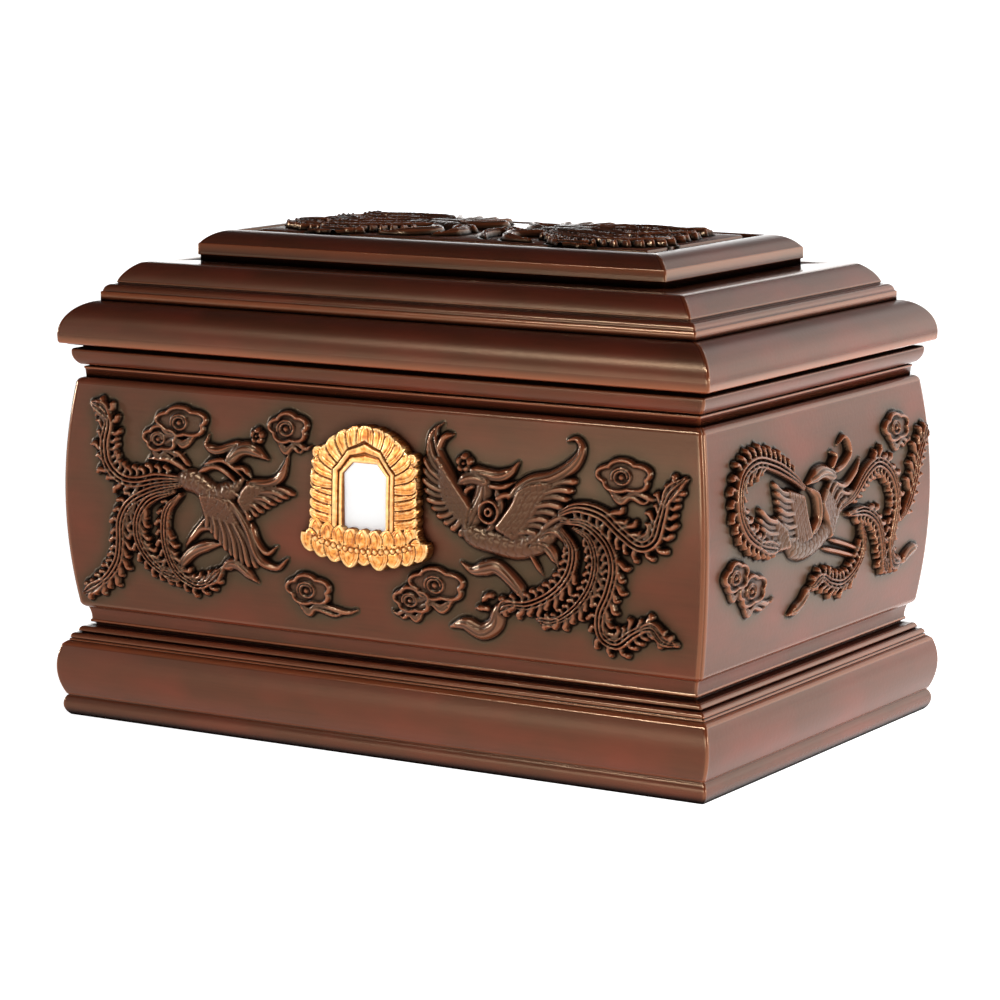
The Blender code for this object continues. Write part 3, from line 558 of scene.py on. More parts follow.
def cloud(relief, u, v, half_u, half_v, tail):
    """A lobed cloud with a raised rim, a boss inside a scroll, and a drifting tail."""
    turns = np.linspace(0, 2 * pi, 120)
    reach = 0.8 + 0.2 * np.abs(np.sin(2.5 * turns + 0.35))
    across, up = half_u * 0.92 * reach, half_v * 0.92 * reach
    rim = np.stack([u + across * np.cos(turns), v + up * np.sin(turns)], axis=1)
    centre = np.array([u, v])
    for share in np.arange(0.1, 1.0, 0.1):
        for at in (centre + (rim - centre) * share)[::2]:
            relief.stamp(*at, 1.6, CLOUD_FILL)
    for at in rim:
        relief.stamp(*at, 1.2, CLOUD_RIM)
    spin = np.linspace(0, 3.1 * pi, 90)
    grow = 0.3 + 0.24 * spin / spin[-1]
    across, up = half_v * 1.25 * grow, half_v * grow
    for at in np.stack([u - 1 + across * np.cos(spin), v - 0.3 + up * np.sin(spin)], axis=1):
        relief.stamp(*at, 0.75, CLOUD_CURL)
    relief.stamp(u - 1, v - 0.3, half_v * 0.24, CLOUD_BOSS)
    side = 1 if tail > 0 else -1
    for drop, long, wide in ((0.95, 1.0, 0.36), (1.2, 0.72, 0.3)):
        drift = [(u + side * half_u * (s * long - 0.15), v - half_v * (drop + f))
                 for s, f in ((-0.35, -0.1), (0.1, 0.32), (0.55, -0.05), (0.9 + 0.5 * abs(tail), 0.22),
                              (1.15 + 0.7 * abs(tail), 0.0))]
        relief.stroke(drift, half_v * wide * 1.15, CLOUD_TAIL, tip=0.25)
        veins(relief, drift, half_v * wide)


def rosette(relief, u, v, radius):
    """A small open flower."""
    for k in range(5):
        turn = 2 * pi * k / 5 + 0.3
        at = (u + radius * 0.55 * cos(turn), v + radius * 0.55 * sin(turn))
        relief.stamp(*at, radius * 0.5, ROSETTE_HEIGHT)
    relief.dent(u, v, radius * 0.55, 1.4)
    relief.stamp(u, v, radius * 0.24, ROSETTE_HEIGHT)


RIGHT_BIRD = {
    "plumes": [
        (8.5, [(97, 116), (106, 119.5), (118, 117.5), (127, 111), (136, 106), (143, 109),
               (146, 118), (149, 128), (156, 135.5)]),
        (7.5, [(98, 113), (110, 113), (120, 106), (123.5, 96), (121, 85), (116.5, 75), (117, 66),
               (124, 63), (133, 69), (141, 72), (146, 67), (153, 65.5)]),
        (7.0, [(98, 110), (104, 102), (102, 91), (94, 82), (82, 76), (71, 75), (66, 70)]),
        (6.0, [(104, 111), (112, 107), (115, 97), (112, 86), (104, 76), (94, 70), (85, 70)]),
    ],
    "wings": [
        (3.4, 12, [(54, 114), (48, 121), (42, 128), (37, 134)],
         [(51, 108), (44, 114), (39.5, 121), (38, 131)],
         [(48, 103), (38, 109.5), (31, 119), (29.5, 131), (32, 142)]),
        (3.6, 9, [(68, 108), (75, 117), (79, 125), (88, 128)],
         [(75, 104), (82, 112), (87, 121), (92, 127)],
         [(84, 103.5), (92, 112), (100, 121.5), (103.5, 130)]),
    ],
    "body": (11.0, [(51, 109), (55, 103.5), (64, 101.5), (76, 100), (88, 104), (98, 112)]),
    "strokes": [
        (8.0, 3.2, [(66, 73), (64, 65.5), (57, 61.5), (49, 64), (41, 62)]),
        (3.0, 2.8, [(64, 78), (61, 77.5), (58, 74.5)]),
        (3.0, 2.8, [(62, 72), (58, 72), (54.5, 71.5)]),
        (7.0, 3.2, [(80, 79), (73, 86), (66, 90.5), (60, 89.5), (54, 88), (48, 91)]),
        (9.5, 3.2, [(60, 127), (58.5, 119), (54.5, 111), (52, 104)]),
        (4.4, 3.0, [(66, 124), (68, 116), (64, 108), (57, 103)]),
        (7.0, 3.8, [(62, 126.5), (55, 127.8), (50, 126.6), (46, 123.5)]),
        (3.0, 3.2, [(55, 124.5), (51.5, 122.5), (51, 119.5)]),
        (5.6, 3.5, [(53, 131), (60, 129.8), (67, 129.4), (72.5, 131.6), (76, 136)]),
        (3.2, 3.3, [(62, 125), (69, 125), (75, 127.5)]),
        (3.6, 3.4, [(66, 119.5), (70.5, 121.8), (76.5, 121.5)]),
        (2.8, 3.2, [(76, 118), (73, 110.5), (66, 105.5)]),
        (2.4, 2.2, [(82, 99), (88.5, 89)]),
        (3.0, 2.4, [(89, 102), (96.5, 94)]),
        (3.8, 2.9, [(52, 117), (47.5, 123), (42, 130), (37.5, 136), (34.6, 142), (34.6, 147),
                    (37.4, 149.4)]),
        (3.4, 3.0, [(36, 138), (38.5, 143.5), (43, 145)]),
        (3.4, 3.0, [(31.5, 136), (32, 143), (34, 148)]),
        (6.4, 3.5, [(72, 121), (82, 128), (93, 131), (102.5, 137), (106, 143.5), (103, 147.6),
                    (98.5, 146.4)]),
        (4.4, 3.0, [(85, 103), (92, 108), (98, 107), (102, 100)]),
        (4.4, 3.0, [(81, 101), (88, 103), (94, 100), (97, 92)]),
        (3.6, 2.9, [(88, 108), (96, 114), (104, 114.5)]),
    ],
    "rings": [(63, 114, 4.6, 2.2, 3.9), (63, 114, 1.5, 2.2, 3.9)],
    "flower": (49.5, 133.5, 4.4),
}

LEFT_BIRD = {
    "plumes": [
        (8.5, [(-97, 115), (-110, 114.5), (-122, 112), (-131, 113), (-138, 119), (-140, 128),
               (-138.5, 137), (-142, 143), (-150, 145.5)]),
        (7.5, [(-97, 112.5), (-112, 109), (-125, 102.5), (-131, 94), (-132, 84), (-134, 75),
               (-140, 67), (-148, 61.5), (-157, 57)]),
        (7.0, [(-101, 109), (-114, 105), (-121, 97), (-122, 87), (-117, 78), (-108, 71.5), (-98, 69)]),
        (6.5, [(-98, 108), (-105, 101), (-107, 92), (-106, 82), (-101, 72.5), (-91, 67.5), (-82, 70.5),
               (-76, 77)]),
    ],
    "wings": [
        (3.2, 10, [(-72, 106), (-78, 108), (-86, 108)], [(-68, 98), (-76, 99), (-84, 101)],
         [(-59, 79), (-66, 80), (-75, 86), (-84, 95)]),
        (3.0, 8, [(-60, 115), (-63, 112), (-65, 108)], [(-54, 114), (-59, 109), (-63, 104)],
         [(-38, 113), (-48, 108), (-61, 100)]),
    ],
    "body": (11.0, [(-98, 115), (-90, 114), (-80, 109), (-70, 112), (-65, 117)]),
    "strokes": [
        (5.5, 3.0, [(-76, 77), (-69, 79), (-58, 71.5)]),
        (5.5, 3.0, [(-101, 74), (-94, 81.5), (-86, 85.5), (-76, 87.5)]),
        (3.4, 2.6, [(-95, 119), (-106, 123), (-117, 122.5)]),
        (2.6, 2.4, [(-94, 121), (-100, 126), (-105, 127)]),
        (3.4, 3.2, [(-88, 119), (-80, 122), (-72, 119), (-66, 113)]),
        (3.0, 3.4, [(-85, 122.5), (-76, 125), (-69, 122), (-63, 117)]),
        (3.0, 3.2, [(-70, 122), (-64, 122), (-60, 118)]),
        (3.0, 3.2, [(-72, 114), (-66, 110), (-61, 111)]),
        (7.0, 3.8, [(-73, 124), (-67, 130), (-60, 131), (-51.5, 127)]),
        (4.5, 3.2, [(-66, 133), (-72, 131), (-79, 129), (-85, 131), (-84, 135.5)]),
        (5.6, 3.8, [(-74, 109), (-66, 102), (-61, 94), (-58, 86), (-54, 81), (-47, 79.5), (-41.5, 84)]),
        (3.4, 3.0, [(-60, 98), (-57, 90), (-52, 85.5), (-47, 89)]),
        (4.6, 3.4, [(-62, 116), (-50, 117), (-44, 121), (-41, 130)]),
        (2.4, 2.2, [(-84, 99), (-97, 85)]),
        (3.0, 2.4, [(-80, 94), (-88, 93), (-97, 84)]),
    ],
    "flower": (-57.5, 137, 3.8),
}

SIDE_BIRD = {
    "plumes": [
        (8.5, [(-24, 121), (-36, 128), (-50, 134), (-66, 137.5), (-80, 133), (-84, 121), (-78, 110),
               (-64, 102), (-46, 98)]),
        (8.0, [(10, 108), (22, 112), (35, 120), (48, 123), (60, 117), (66, 106), (64, 95), (61, 84),
               (66, 75), (77, 74)]),
        (8.0, [(70, 94), (78, 101), (85, 112), (90, 122), (101, 134)]),
        (7.0, [(18, 104), (34, 103), (46, 97), (52, 87), (55, 77), (61, 71)]),
        (7.0, [(31, 98), (33, 88), (27, 79), (15, 74), (3, 76), (-7, 80), (-17, 76)]),
    ],
    "wings": [
        (3.2, 6, [(-40, 99), (-42, 102), (-43, 105)], [(-46, 99), (-49, 105), (-50, 110)],
         [(-56, 101), (-64, 110), (-64, 117)]),
        (3.4, 9, [(-20, 100), (-24, 108), (-27, 117)], [(-30, 98), (-33, 108), (-37, 120)],
         [(-40, 99), (-46, 110), (-50, 126)]),
        (3.2, 7, [(0, 98), (-4, 106), (-8, 112)], [(6, 104), (4, 110), (-2, 116)],
         [(18, 109), (12, 116), (4, 121)]),
    ],
    "body": (11.0, [(-38, 99), (-25, 95), (-10, 97), (4, 104), (14, 111)]),
    "strokes": [
        (6.0, 3.2, [(77, 74), (84, 77), (94, 79)]),
        (6.0, 3.2, [(-17, 76), (-23, 70), (-33, 67)]),
        (5.5, 3.8, [(-18, 100), (-11, 106), (-12, 116), (-20, 121)]),
        (7.0, 3.8, [(6, 122), (-6, 125.5), (-21, 122)]),
        (3.4, 3.4, [(4, 124), (14, 126), (21, 131), (18, 138), (11, 135)]),
        (3.4, 3.4, [(2, 126), (7, 131), (4, 133)]),
        (3.4, 3.2, [(4, 120), (14, 117), (24, 121), (33, 127)]),
        (3.4, 3.2, [(8, 116), (18, 113), (26, 115)]),
        (2.6, 2.2, [(-4, 92), (16, 87), (37, 81)]),
        (2.6, 2.2, [(2, 95), (20, 90), (40, 83)]),
    ],
    "flower": None,
}

CAP_BIRD = {
    "plumes": [
        (10.0, [(30, -4), (44, -20), (62, -30), (82, -30), (94, -18), (84, -8)]),
        (9.0, [(34, 4), (52, 4), (70, -6), (84, 4), (94, 18)]),
        (9.0, [(28, 10), (44, 24), (62, 30), (80, 26), (92, 34)]),
        (9.0, [(40, 14), (56, 16), (70, 12), (80, 14)]),
        (9.0, [(40, -8), (54, -12), (68, -18), (78, -18)]),
    ],
    "wings": [
        (4.0, 8, [(40, 8), (32, 8), (26, 8)], [(40, 18), (32, 18), (24, 16)],
         [(50, 38), (34, 42), (16, 36)]),
    ],
    "body": (14.0, [(48, 0), (38, 4), (26, 2), (18, 0)]),
    "strokes": [
        (6.0, 3.8, [(24, 2), (14, 8), (8, 18), (14, 26)]),
        (6.0, 3.6, [(30, -8), (20, -20), (26, -34), (40, -38)]),
        (5.0, 3.4, [(20, -6), (10, -12), (8, -24), (14, -34)]),
    ],
    "flower": (12, -10, 6),
}

FRONT_CLOUDS = [(127, 134, 14, 7.2, 0.5), (-99, 140, 15, 7.0, -0.3), (-110, 132, 10, 6, 0.4),
                (-41.5, 141.5, 11, 7.0, 0.2), (-31, 71, 12.5, 7.2, 1.4), (36, 80, 15, 7.6, -0.4),
                (23, 72, 10, 6, -0.2)]
SIDE_CLOUDS = [(70, 136, 13, 6.5, 0.2), (-85, 92, 11, 6.5, 0.2), (-70, 84, 13, 7.0, 1.0)]
BACK_CLOUDS = [(-96, 122, 20, 9.5, 0.9), (96, 122, 20, 9.5, -0.9), (-52, 82, 16, 8, 1.1),
               (52, 82, 16, 8, -1.1)]
CAP_CLOUDS = [(58, 36, 12, 6, 0.4), (60, -38, 12, 5, 0.4), (88, 2, 8, 5, 0.2)]


def bird(relief, figure):
    """One phoenix: plumes first, then wings, body, head and crest over them."""
    for width, points in figure["plumes"]:
        plume(relief, points, width)
    for width, count, bone, cover, tips in figure["wings"]:
        feathers(relief, cover, tips, count, width)
        coverts(relief, bone, cover)
    width, points = figure["body"]
    relief.stroke(points, width, BODY_HEIGHT, root=0.6, tip=0.3)
    scales(relief, points, width * 0.8)
    for width, height, points in figure["strokes"]:
        relief.stroke(points, width, height)
        if width > VEINED_WIDTH:
            veins(relief, points, width)
    for row in figure.get("rings", ()):
        ring(relief, *row)
    if figure["flower"]:
        rosette(relief, *figure["flower"])


def relief_tone(height, reach):
    """How far a height field stands over (positive) or under its surroundings, from -1 to 1."""
    raised = np.maximum(height, 0)
    return np.clip((raised - blurred(raised, reach)) / TONE_RISE, -1, 1)


def quads_over(mask):
    """The rows and columns of the grid points, and the quads, of every cell that touches a mask."""
    cells = mask[:-1, :-1] | mask[1:, :-1] | mask[:-1, 1:] | mask[1:, 1:]
    used = np.zeros_like(mask)
    for dj in (0, 1):
        for di in (0, 1):
            used[dj:dj + cells.shape[0], di:di + cells.shape[1]] |= cells
    index = np.cumsum(used.ravel()).reshape(used.shape) - 1
    j, i = np.nonzero(cells)
    quads = np.stack([index[j, i], index[j, i + 1], index[j + 1, i + 1], index[j + 1, i]], axis=1)
    return *np.nonzero(used), quads.tolist()


def relief_sheet(relief, place):
    """The raised cells of a height field, and a skirt round them with painted shade, as parts of a mesh."""
    mask = relief.height > CARVED
    near = blurred(mask.astype(float), OUTLINE_REACH / RELIEF_GRID) > OUTLINE_SHARE
    j, i, quads = quads_over(near)
    # The tone paints highlights on the crests, and painted shade in the hollows and on the skirt at the foot
    tone = relief_tone(relief.height, RELIEF_BLUR / RELIEF_GRID)[j, i]
    height = np.where(mask, relief.height, np.where(near, SHEET_LIFT, SUNK_SHOWN))[j, i]
    grain = np.stack([relief.u[i], relief.v[j]], axis=1)
    ground = np.clip(1 - height / GROUND_RISE, RELIEF_GROUND, 1)
    return place(relief.u[i], relief.v[j], height), quads, tone, grain, ground


def on_wall(quarter):
    """A function that puts drawn points on one wall of the case."""
    def place(u, v, lift):
        half = HALF_Y if quarter % 2 == 0 else HALF_X
        path = turned(np.stack([u, case_inset(v) - half - lift, v], axis=1), quarter)
        return np.stack([path[:, 0], path[:, 1] + SHIFT_Y, v], axis=1)
    return place


def on_cap(u, v, lift):
    """Drawn points on the raised panel of the lid."""
    return np.stack([u, v + SHIFT_Y, CAP_FACE + np.minimum(lift, CAP_RELIEF - 0.05)], axis=1)


def join_sheets(target, sheets):
    """Add relief sheets to a piece as part of the same mesh."""
    mesh = target.data
    for points, quads, tone, grain, ground in sheets:
        extra = mesh_object(target.name + "_relief", points, quads, tone, grain, ground)
        extra.data.materials.append(mesh.materials[0])
        with bpy.context.temp_override(active_object=target, selected_editable_objects=[target, extra]):
            bpy.ops.object.join()


def petal(field, base, tip, half, low, high, power=6.0):
    """Lay a petal over a height field, with a rounded edge and two lines inside it."""
    u, v, height = field
    base, tip = np.array(base, float), np.array(tip, float)
    length = np.hypot(*(tip - base))
    ahead = (tip - base) / length
    along = ((u - base[0]) * ahead[0] + (v - base[1]) * ahead[1]) / length
    across = np.abs((v - base[1]) * ahead[0] - (u - base[0]) * ahead[1])
    share = np.clip(along, 0, 1)
    wide = half * (0.8 + 0.2 * np.sin(pi / 2 * np.minimum(1, 1.5 * share))) * (1 - share ** power) ** 0.5
    border = np.where((along >= 0) & (along <= 1), wide - across, -1)
    edge = np.clip(border / 1.0, 0, 1)
    lift = low + (high - low) * edge * (2 - edge)
    for inner in (1.35, 2.6):
        lift -= 0.5 * np.exp(-((border - inner) / 0.34) ** 2)
    height[:] = np.where(border > 0, lift, height)


def bead(field, at_u, at_v, radius, low, high):
    """Lay a round bead over a height field."""
    u, v, height = field
    apart = np.hypot(u - at_u, v - at_v) / radius
    dome = low + (high - low) * np.sqrt(np.clip(1 - apart ** 2, 0, 1))
    height[:] = np.where(apart < 1, dome, height)


def gilt_plate(field):
    """The flat of the frame: an arch, and a wider foot with a hollow lower edge."""
    u, v, height = field
    wide = np.abs(u)
    rise = np.clip(v - ARCH_SPRING, 0, None) / ARCH_RISE
    arch = ((wide / ARCH_HALF) ** ARCH_POWER + rise ** ARCH_POWER < 1) & (v > 95)
    foot = (wide < FOOT_HALF) & (v > 88.5 + 0.0035 * u ** 2) & (v <= 97)
    height[arch | foot] = PLATE_HEIGHT


def arch_petals(field):
    """Petals up both sides of the arch, and fanned over its top from the sides inwards."""
    for side in (-1, 1):
        for k in range(8):
            low_v = 100.6 + 4.05 * k
            tip = (side * (27.8 - 0.02 * k * k), low_v + 2.2 + 0.4 * k)
            petal(field, (side * 14.5, low_v), tip, 3.5, 2.6, 5.1, 9)
    pairs = [turn for low in range(6, 77, 14) for turn in (low, 180 - low)]
    for turn in (*pairs, 90):
        c, s = cos(radians(turn)), sin(radians(turn))
        base, tip = (13.0 * c, FAN_CENTRE + 13.0 * s), (27.6 * c, FAN_CENTRE + 26.2 * s)
        petal(field, base, tip, 4.7, 2.7, 5.3, 9)


def opening_moulding(field):
    """The moulded band round the opening, higher over its top, and the opening itself."""
    u, v, height = field
    wide = np.abs(u)
    chamfer = (wide + v - OPENING_HALF - OPENING_TOP + OPENING_CUT) / DIAGONAL
    apart = np.maximum(np.maximum(wide - OPENING_HALF, v - OPENING_TOP), chamfer)
    peak = 5.0 + 5.0 * np.clip(1 - wide / 14, 0, 1) ** 1.5
    band = apart / np.where(v > OPENING_TOP - 2, peak / 5.0, 1.0)
    places = (0, 0.4, 1.6, 1.8, 2.3, 2.7, 4.2, 4.5, 5.1)
    heights = (3.9, 4.3, 4.3, 3.4, 3.4, 5.0, 5.3, 3.6, 3.6)
    inside = (band < places[-1]) & (v > 96)
    height[inside] = np.interp(band, places, heights)[inside]
    height[(apart < 0) & (v > 99)] = GILT_DROP


def foot_petals(field):
    """Three rows of petals over the foot, with two at each end and a string of beads."""
    for u in (-22, -15.5, -9, -3, 3, 9, 15.5, 22):
        petal(field, (u, 99.5 + 0.005 * u * u), (u * 1.05, 92.0 + 0.008 * u * u), 4.4, 3.7, 5.1)
    for u in (-24, 24, -18, 18, -12, 12, -6, 6, 0):
        petal(field, (u, 94.4 + 0.005 * u * u), (u * 1.02, 101.4 + 0.005 * u * u), 4.8, 3.7, 5.3, 2.0)
    for side in (-1, 1):
        petal(field, (side * 24, 94), (side * 29.5, 98.6), 3.2, 2.6, 5.0)
        petal(field, (side * 23, 92.5), (side * 31.6, 93.2), 3.4, 2.6, 5.2)
    for u, tip_v in ((-28, 88.6), (28, 88.6), (-22, 86.4), (22, 86.4), (-15.3, 84.8), (15.3, 84.8),
                     (0, 84.6), (-7.6, 83.0), (7.6, 83.0)):
        petal(field, (u * 0.97, 94.4 + 0.004 * u * u), (u, tip_v + 0.6), 6.4, 3.1, 5.1, 1.8)
    for k in range(-8, 9):
        u = BEAD_PITCH * k
        bead(field, u, 91.7 + 0.0062 * u ** 2, 1.55, 3.4, 5.7)


def gilt_field():
    """Heights of the gilt frame over the wall, drawn from the middle of the wall."""
    field_u, field_v = np.arange(-33, 34, GILT_GRID), np.arange(80, 149, GILT_GRID)
    u, v = np.meshgrid(field_u, field_v)
    height = np.full(u.shape, GILT_DROP)
    for shape in (gilt_plate, arch_petals, opening_moulding, foot_petals):
        shape((u - GILT_SHIFT, v, height))
    return field_u, field_v, height


def add_gilt(gilt):
    """The cast frame as one fine sheet, sunk in the wall all round and open in the middle."""
    us, vs, height = gilt_field()
    j, i, quads = quads_over(height > 0)
    # The cells round the opening take the lowest tone, painted shade on the opening's inner wall
    hole = blurred((height < 0).astype(float), 1.0) > 0.2
    tone = np.where(hole, -1, relief_tone(height, GILT_BLUR / GILT_GRID))[j, i]
    points = on_wall(0)(us[i], vs[j], height[j, i])
    points[:, 1] = np.maximum(points[:, 1], cad_low[1] / MM)
    piece = mesh_object("gilt_frame", points, quads, tone)
    piece.data.materials.append(gilt)
    standing_for(piece, "portrait_frame")


def ground_of(relief, quarter):
    """A function that gives, for a wall's grid, how near the carving is."""
    stride = GROUND_STRIDE
    near = blurred((relief.height > CARVED).astype(float), GROUND_REACH / RELIEF_GRID)
    near, us, vs = near[::stride, ::stride], relief.u[::stride], relief.v[::stride]

    def ground(grid):
        x, y = grid[:, :, 0], grid[:, :, 1] - SHIFT_Y
        i = np.clip(np.searchsorted(us, (x, y, -x, -y)[quarter]), 0, len(us) - 1)
        j = np.clip(np.searchsorted(vs, grid[:, :, 2]), 0, len(vs) - 1)
        return np.clip(near[j, i] * GROUND_GAIN, 0, 1)
    return ground


# Colours, in linear light
BLACK = (0, 0, 0)
PALE = (0.8, 0.8, 0.8)
WOOD_GRAIN = ((0.25, (0.084, 0.019, 0.009)), (0.5, (0.098, 0.022, 0.010)), (0.75, (0.112, 0.026, 0.012)))
WOOD_RED = (0.17, 0.026, 0.013)
WOOD_GROUND = (0.058, 0.034, 0.016)
WOOD_WEAR_AND_HIGHLIGHT = (0.36, 0.088, 0.032)
WOOD_HOLLOW_SHADE = (0.006, 0.003, 0.002)
WOOD_CREVICE_SHADE = (0.004, 0.002, 0.0015)
WOOD_SHEEN = (1.0, 0.71, 0.44)
GILT_SPOTS = ((0.36, (0.55, 0.15, 0.03)), (0.5, (0.95, 0.35, 0.06)), (0.64, (1.0, 0.55, 0.2)))
GILT_PROUD_HIGHLIGHT = (1.0, 0.72, 0.34)
GILT_HOLLOW_SHADE = (0.10, 0.028, 0.008)
GILT_CREVICE_SHADE = (0.09, 0.025, 0.008)
CARD_FIBRE = ((0.3, (0.97, 0.97, 0.965)), (0.7, (1.0, 1.0, 1.0)))
BOARD_GRAIN = ((0.3, (0.2, 0.1, 0.055)), (0.7, (0.32, 0.18, 0.1)))


def fill(node, inputs):
    """Link or set the inputs of a node."""
    for key, value in inputs.items():
        if isinstance(value, bpy.types.NodeSocket):
            node.id_data.links.new(value, node.inputs[key])
        else:
            node.inputs[key].default_value = value


def node_maker(owner):
    """A short way to add nodes to a material or a world."""
    def add(kind, inputs=None, **settings):
        node = owner.node_tree.nodes.new(kind)
        for key, value in settings.items():
            setattr(node, key, value)
        fill(node, inputs or {})
        return node
    return add


def new_material(name):
    """A material with a Principled shader, and its node maker."""
    material = bpy.data.materials.new(name)
    material.use_nodes = True
    return material, material.node_tree.nodes["Principled BSDF"], node_maker(material)


def mix_colour(add, factor, first, second):
    """The colour output of a mix; each colour is a socket or three values."""
    node = add("ShaderNodeMix", {"Factor": factor}, data_type="RGBA")
    for key, value in ((6, first), (7, second)):
        fill(node, {key: value if isinstance(value, bpy.types.NodeSocket) else (*value, 1.0)})
    return node.outputs[2]


def ramp(add, value, stops):
    """A colour ramp output over a value."""
    node = add("ShaderNodeValToRGB", {"Fac": value})
    points = node.color_ramp.elements
    while len(points) < len(stops):
        points.new(0.5)
    for point, (place, colour) in zip(points, stops):
        point.position = place
        point.color = (*colour, 1.0)
    return node.outputs["Color"]


def mapped(add, value, low, high, to_low=0.0, to_high=1.0, curve="LINEAR"):
    """A value taken from one range to another, and held at the ends."""
    inputs = {"Value": value, "From Min": low, "From Max": high, "To Min": to_low, "To Max": to_high}
    return add("ShaderNodeMapRange", inputs, interpolation_type=curve).outputs["Result"]


def product(add, first, second):
    """Two values multiplied."""
    return add("ShaderNodeMath", {0: first, 1: second}, operation="MULTIPLY").outputs["Value"]


def noise(add, place, scale, detail, roughness=0.5):
    """Cloudy noise over a place."""
    inputs = {"Vector": place, "Scale": scale, "Detail": detail, "Roughness": roughness}
    return add("ShaderNodeTexNoise", inputs).outputs["Fac"]


def stretched(add, place, scale):
    """A place with each axis scaled."""
    return add("ShaderNodeMapping", {"Vector": place, "Scale": scale}).outputs["Vector"]


def object_place(add):
    """The place on the object."""
    return add("ShaderNodeTexCoord").outputs["Object"]


def attribute(add, name):
    """A layer of the mesh."""
    return add("ShaderNodeAttribute", attribute_name=name).outputs["Fac"]


def bumped(add, height, strength, distance, below=None):
    """A normal that follows a height, over another normal if there is one."""
    inputs = {"Height": height, "Strength": strength, "Distance": distance}
    if below is not None:
        inputs["Normal"] = below
    return add("ShaderNodeBump", inputs).outputs["Normal"]


def openness(add, distance, low, high):
    """Ambient occlusion, 0 in a crevice and 1 in the open, that sets where shade is painted."""
    shade = add("ShaderNodeAmbientOcclusion", {"Distance": distance}, samples=6)
    return mapped(add, shade.outputs["AO"], low, high)


def lacquered_rosewood():
    """Dark red-brown satin lacquer: fine grain, burnished ground, painted shade, painted rubbed highlights.
    """
    material, shader, add = new_material("lacquered_rosewood")
    grain = add("ShaderNodeUVMap", uv_map="grain").outputs["UV"]
    streak = noise(add, stretched(add, grain, (0.02, 0.7, 1.0)), 1.0, 6.0, 0.6)
    patch = noise(add, stretched(add, grain, (0.018, 0.035, 1.0)), 1.0, 3.0)
    pore = noise(add, grain, 0.5, 4.0)
    tone = attribute(add, "tone")
    hollow = mapped(add, tone, -0.1, -0.8, 0.0, 0.92)
    dark = openness(add, 0.006, 0.42, 0.93)
    red = ramp(add, patch, [(0.42, BLACK), (0.66, PALE)])
    wood = mix_colour(add, red, ramp(add, streak, WOOD_GRAIN), WOOD_RED)
    wood = mix_colour(add, attribute(add, "ground"), wood, WOOD_GROUND)
    # Painted highlight, partly rubbing: convex arrises and crests are lightened to a copper red
    wood = mix_colour(add, mapped(add, tone, 0.22, 0.95, 0.0, 0.7), wood, WOOD_WEAR_AND_HIGHLIGHT)
    # Painted shade: the hollows of the mouldings and the foot of the carving go nearly black; round the
    # carving it also stands for dark glaze
    wood = mix_colour(add, hollow, wood, WOOD_HOLLOW_SHADE)
    # Painted shade: ambient occlusion darkens the crevices between the courses and round the carving
    wood = mix_colour(add, dark, WOOD_CREVICE_SHADE, wood)
    satin = mapped(add, streak, 0.0, 1.0, 0.3, 0.33)
    polish = mapped(add, tone, 0.05, 0.35, 0.0, -0.14)
    rough = add("ShaderNodeMath", {0: satin, 1: polish}, operation="ADD").outputs["Value"]
    # Painted reflection: the sheen is cut in hollows and crevices as painted shade, and doubled on the
    # crests as painted glints
    crevice = mapped(add, hollow, 0.0, 0.92, 0.46, 0.04)
    crest_glint = mapped(add, tone, 0.1, 0.5, 1.0, 2.0)
    fill(shader, {
        "Base Color": wood,
        "Roughness": rough,
        "Normal": bumped(add, streak, 0.05, 0.0002, bumped(add, pore, 0.1, 0.0005)),
        "Specular IOR Level": product(add, product(add, crevice, crest_glint), dark),
        "Specular Tint": (*WOOD_SHEEN, 1.0),
    })
    return material


def antique_gilt():
    """Cast gilt: painted highlight of bright orange gold on the proud parts, painted brown shade in hollows.
    """
    material, shader, add = new_material("antique_gilt")
    tone = attribute(add, "tone")
    spot = noise(add, object_place(add), 420.0, 4.0)
    # Painted highlight: what stands proud is lightened to a pale bright gold
    gold = mix_colour(add, mapped(add, tone, 0.1, 0.9, 0.0, 0.6), ramp(add, spot, GILT_SPOTS), GILT_PROUD_HIGHLIGHT)
    # Painted shade: the hollows and the opening's inner wall go dark brown
    gold = mix_colour(add, mapped(add, tone, -0.12, -0.85, 0.0, 0.85), gold, GILT_HOLLOW_SHADE)
    # Painted shade: ambient occlusion darkens the crevices between petals and beads
    gold = mix_colour(add, openness(add, 0.002, 0.25, 0.72), GILT_CREVICE_SHADE, gold)
    normal = bumped(add, spot, 0.16, 0.0004)
    fill(shader, {"Base Color": gold, "Normal": normal, "Metallic": 0.7, "Roughness": 0.3})
    return material


def white_card():
    """Matt white card with a trace of fibre, and a faint glow of painted light."""
    material, shader, add = new_material("white_card")
    colour = ramp(add, noise(add, object_place(add), 900.0, 3.0), CARD_FIBRE)
    # Painted light: the card glows faintly so that it shows white
    fill(shader, {"Base Color": colour, "Emission Color": colour, "Emission Strength": 0.2,
                  "Roughness": 0.6})
    return material


def bare_board():
    """The unlacquered floor board, with long grain."""
    material, shader, add = new_material("bare_board")
    grain = noise(add, stretched(add, object_place(add), (3.0, 90.0, 90.0)), 1.0, 5.0)
    normal = bumped(add, grain, 0.3, 0.0004)
    fill(shader, {"Base Color": ramp(add, grain, BOARD_GRAIN), "Normal": normal, "Roughness": 0.6})
    return material


def standing_for(piece, node):
    """Hang a piece under the root body, and hide the node it replaces."""
    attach(piece, "root")
    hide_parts(node)


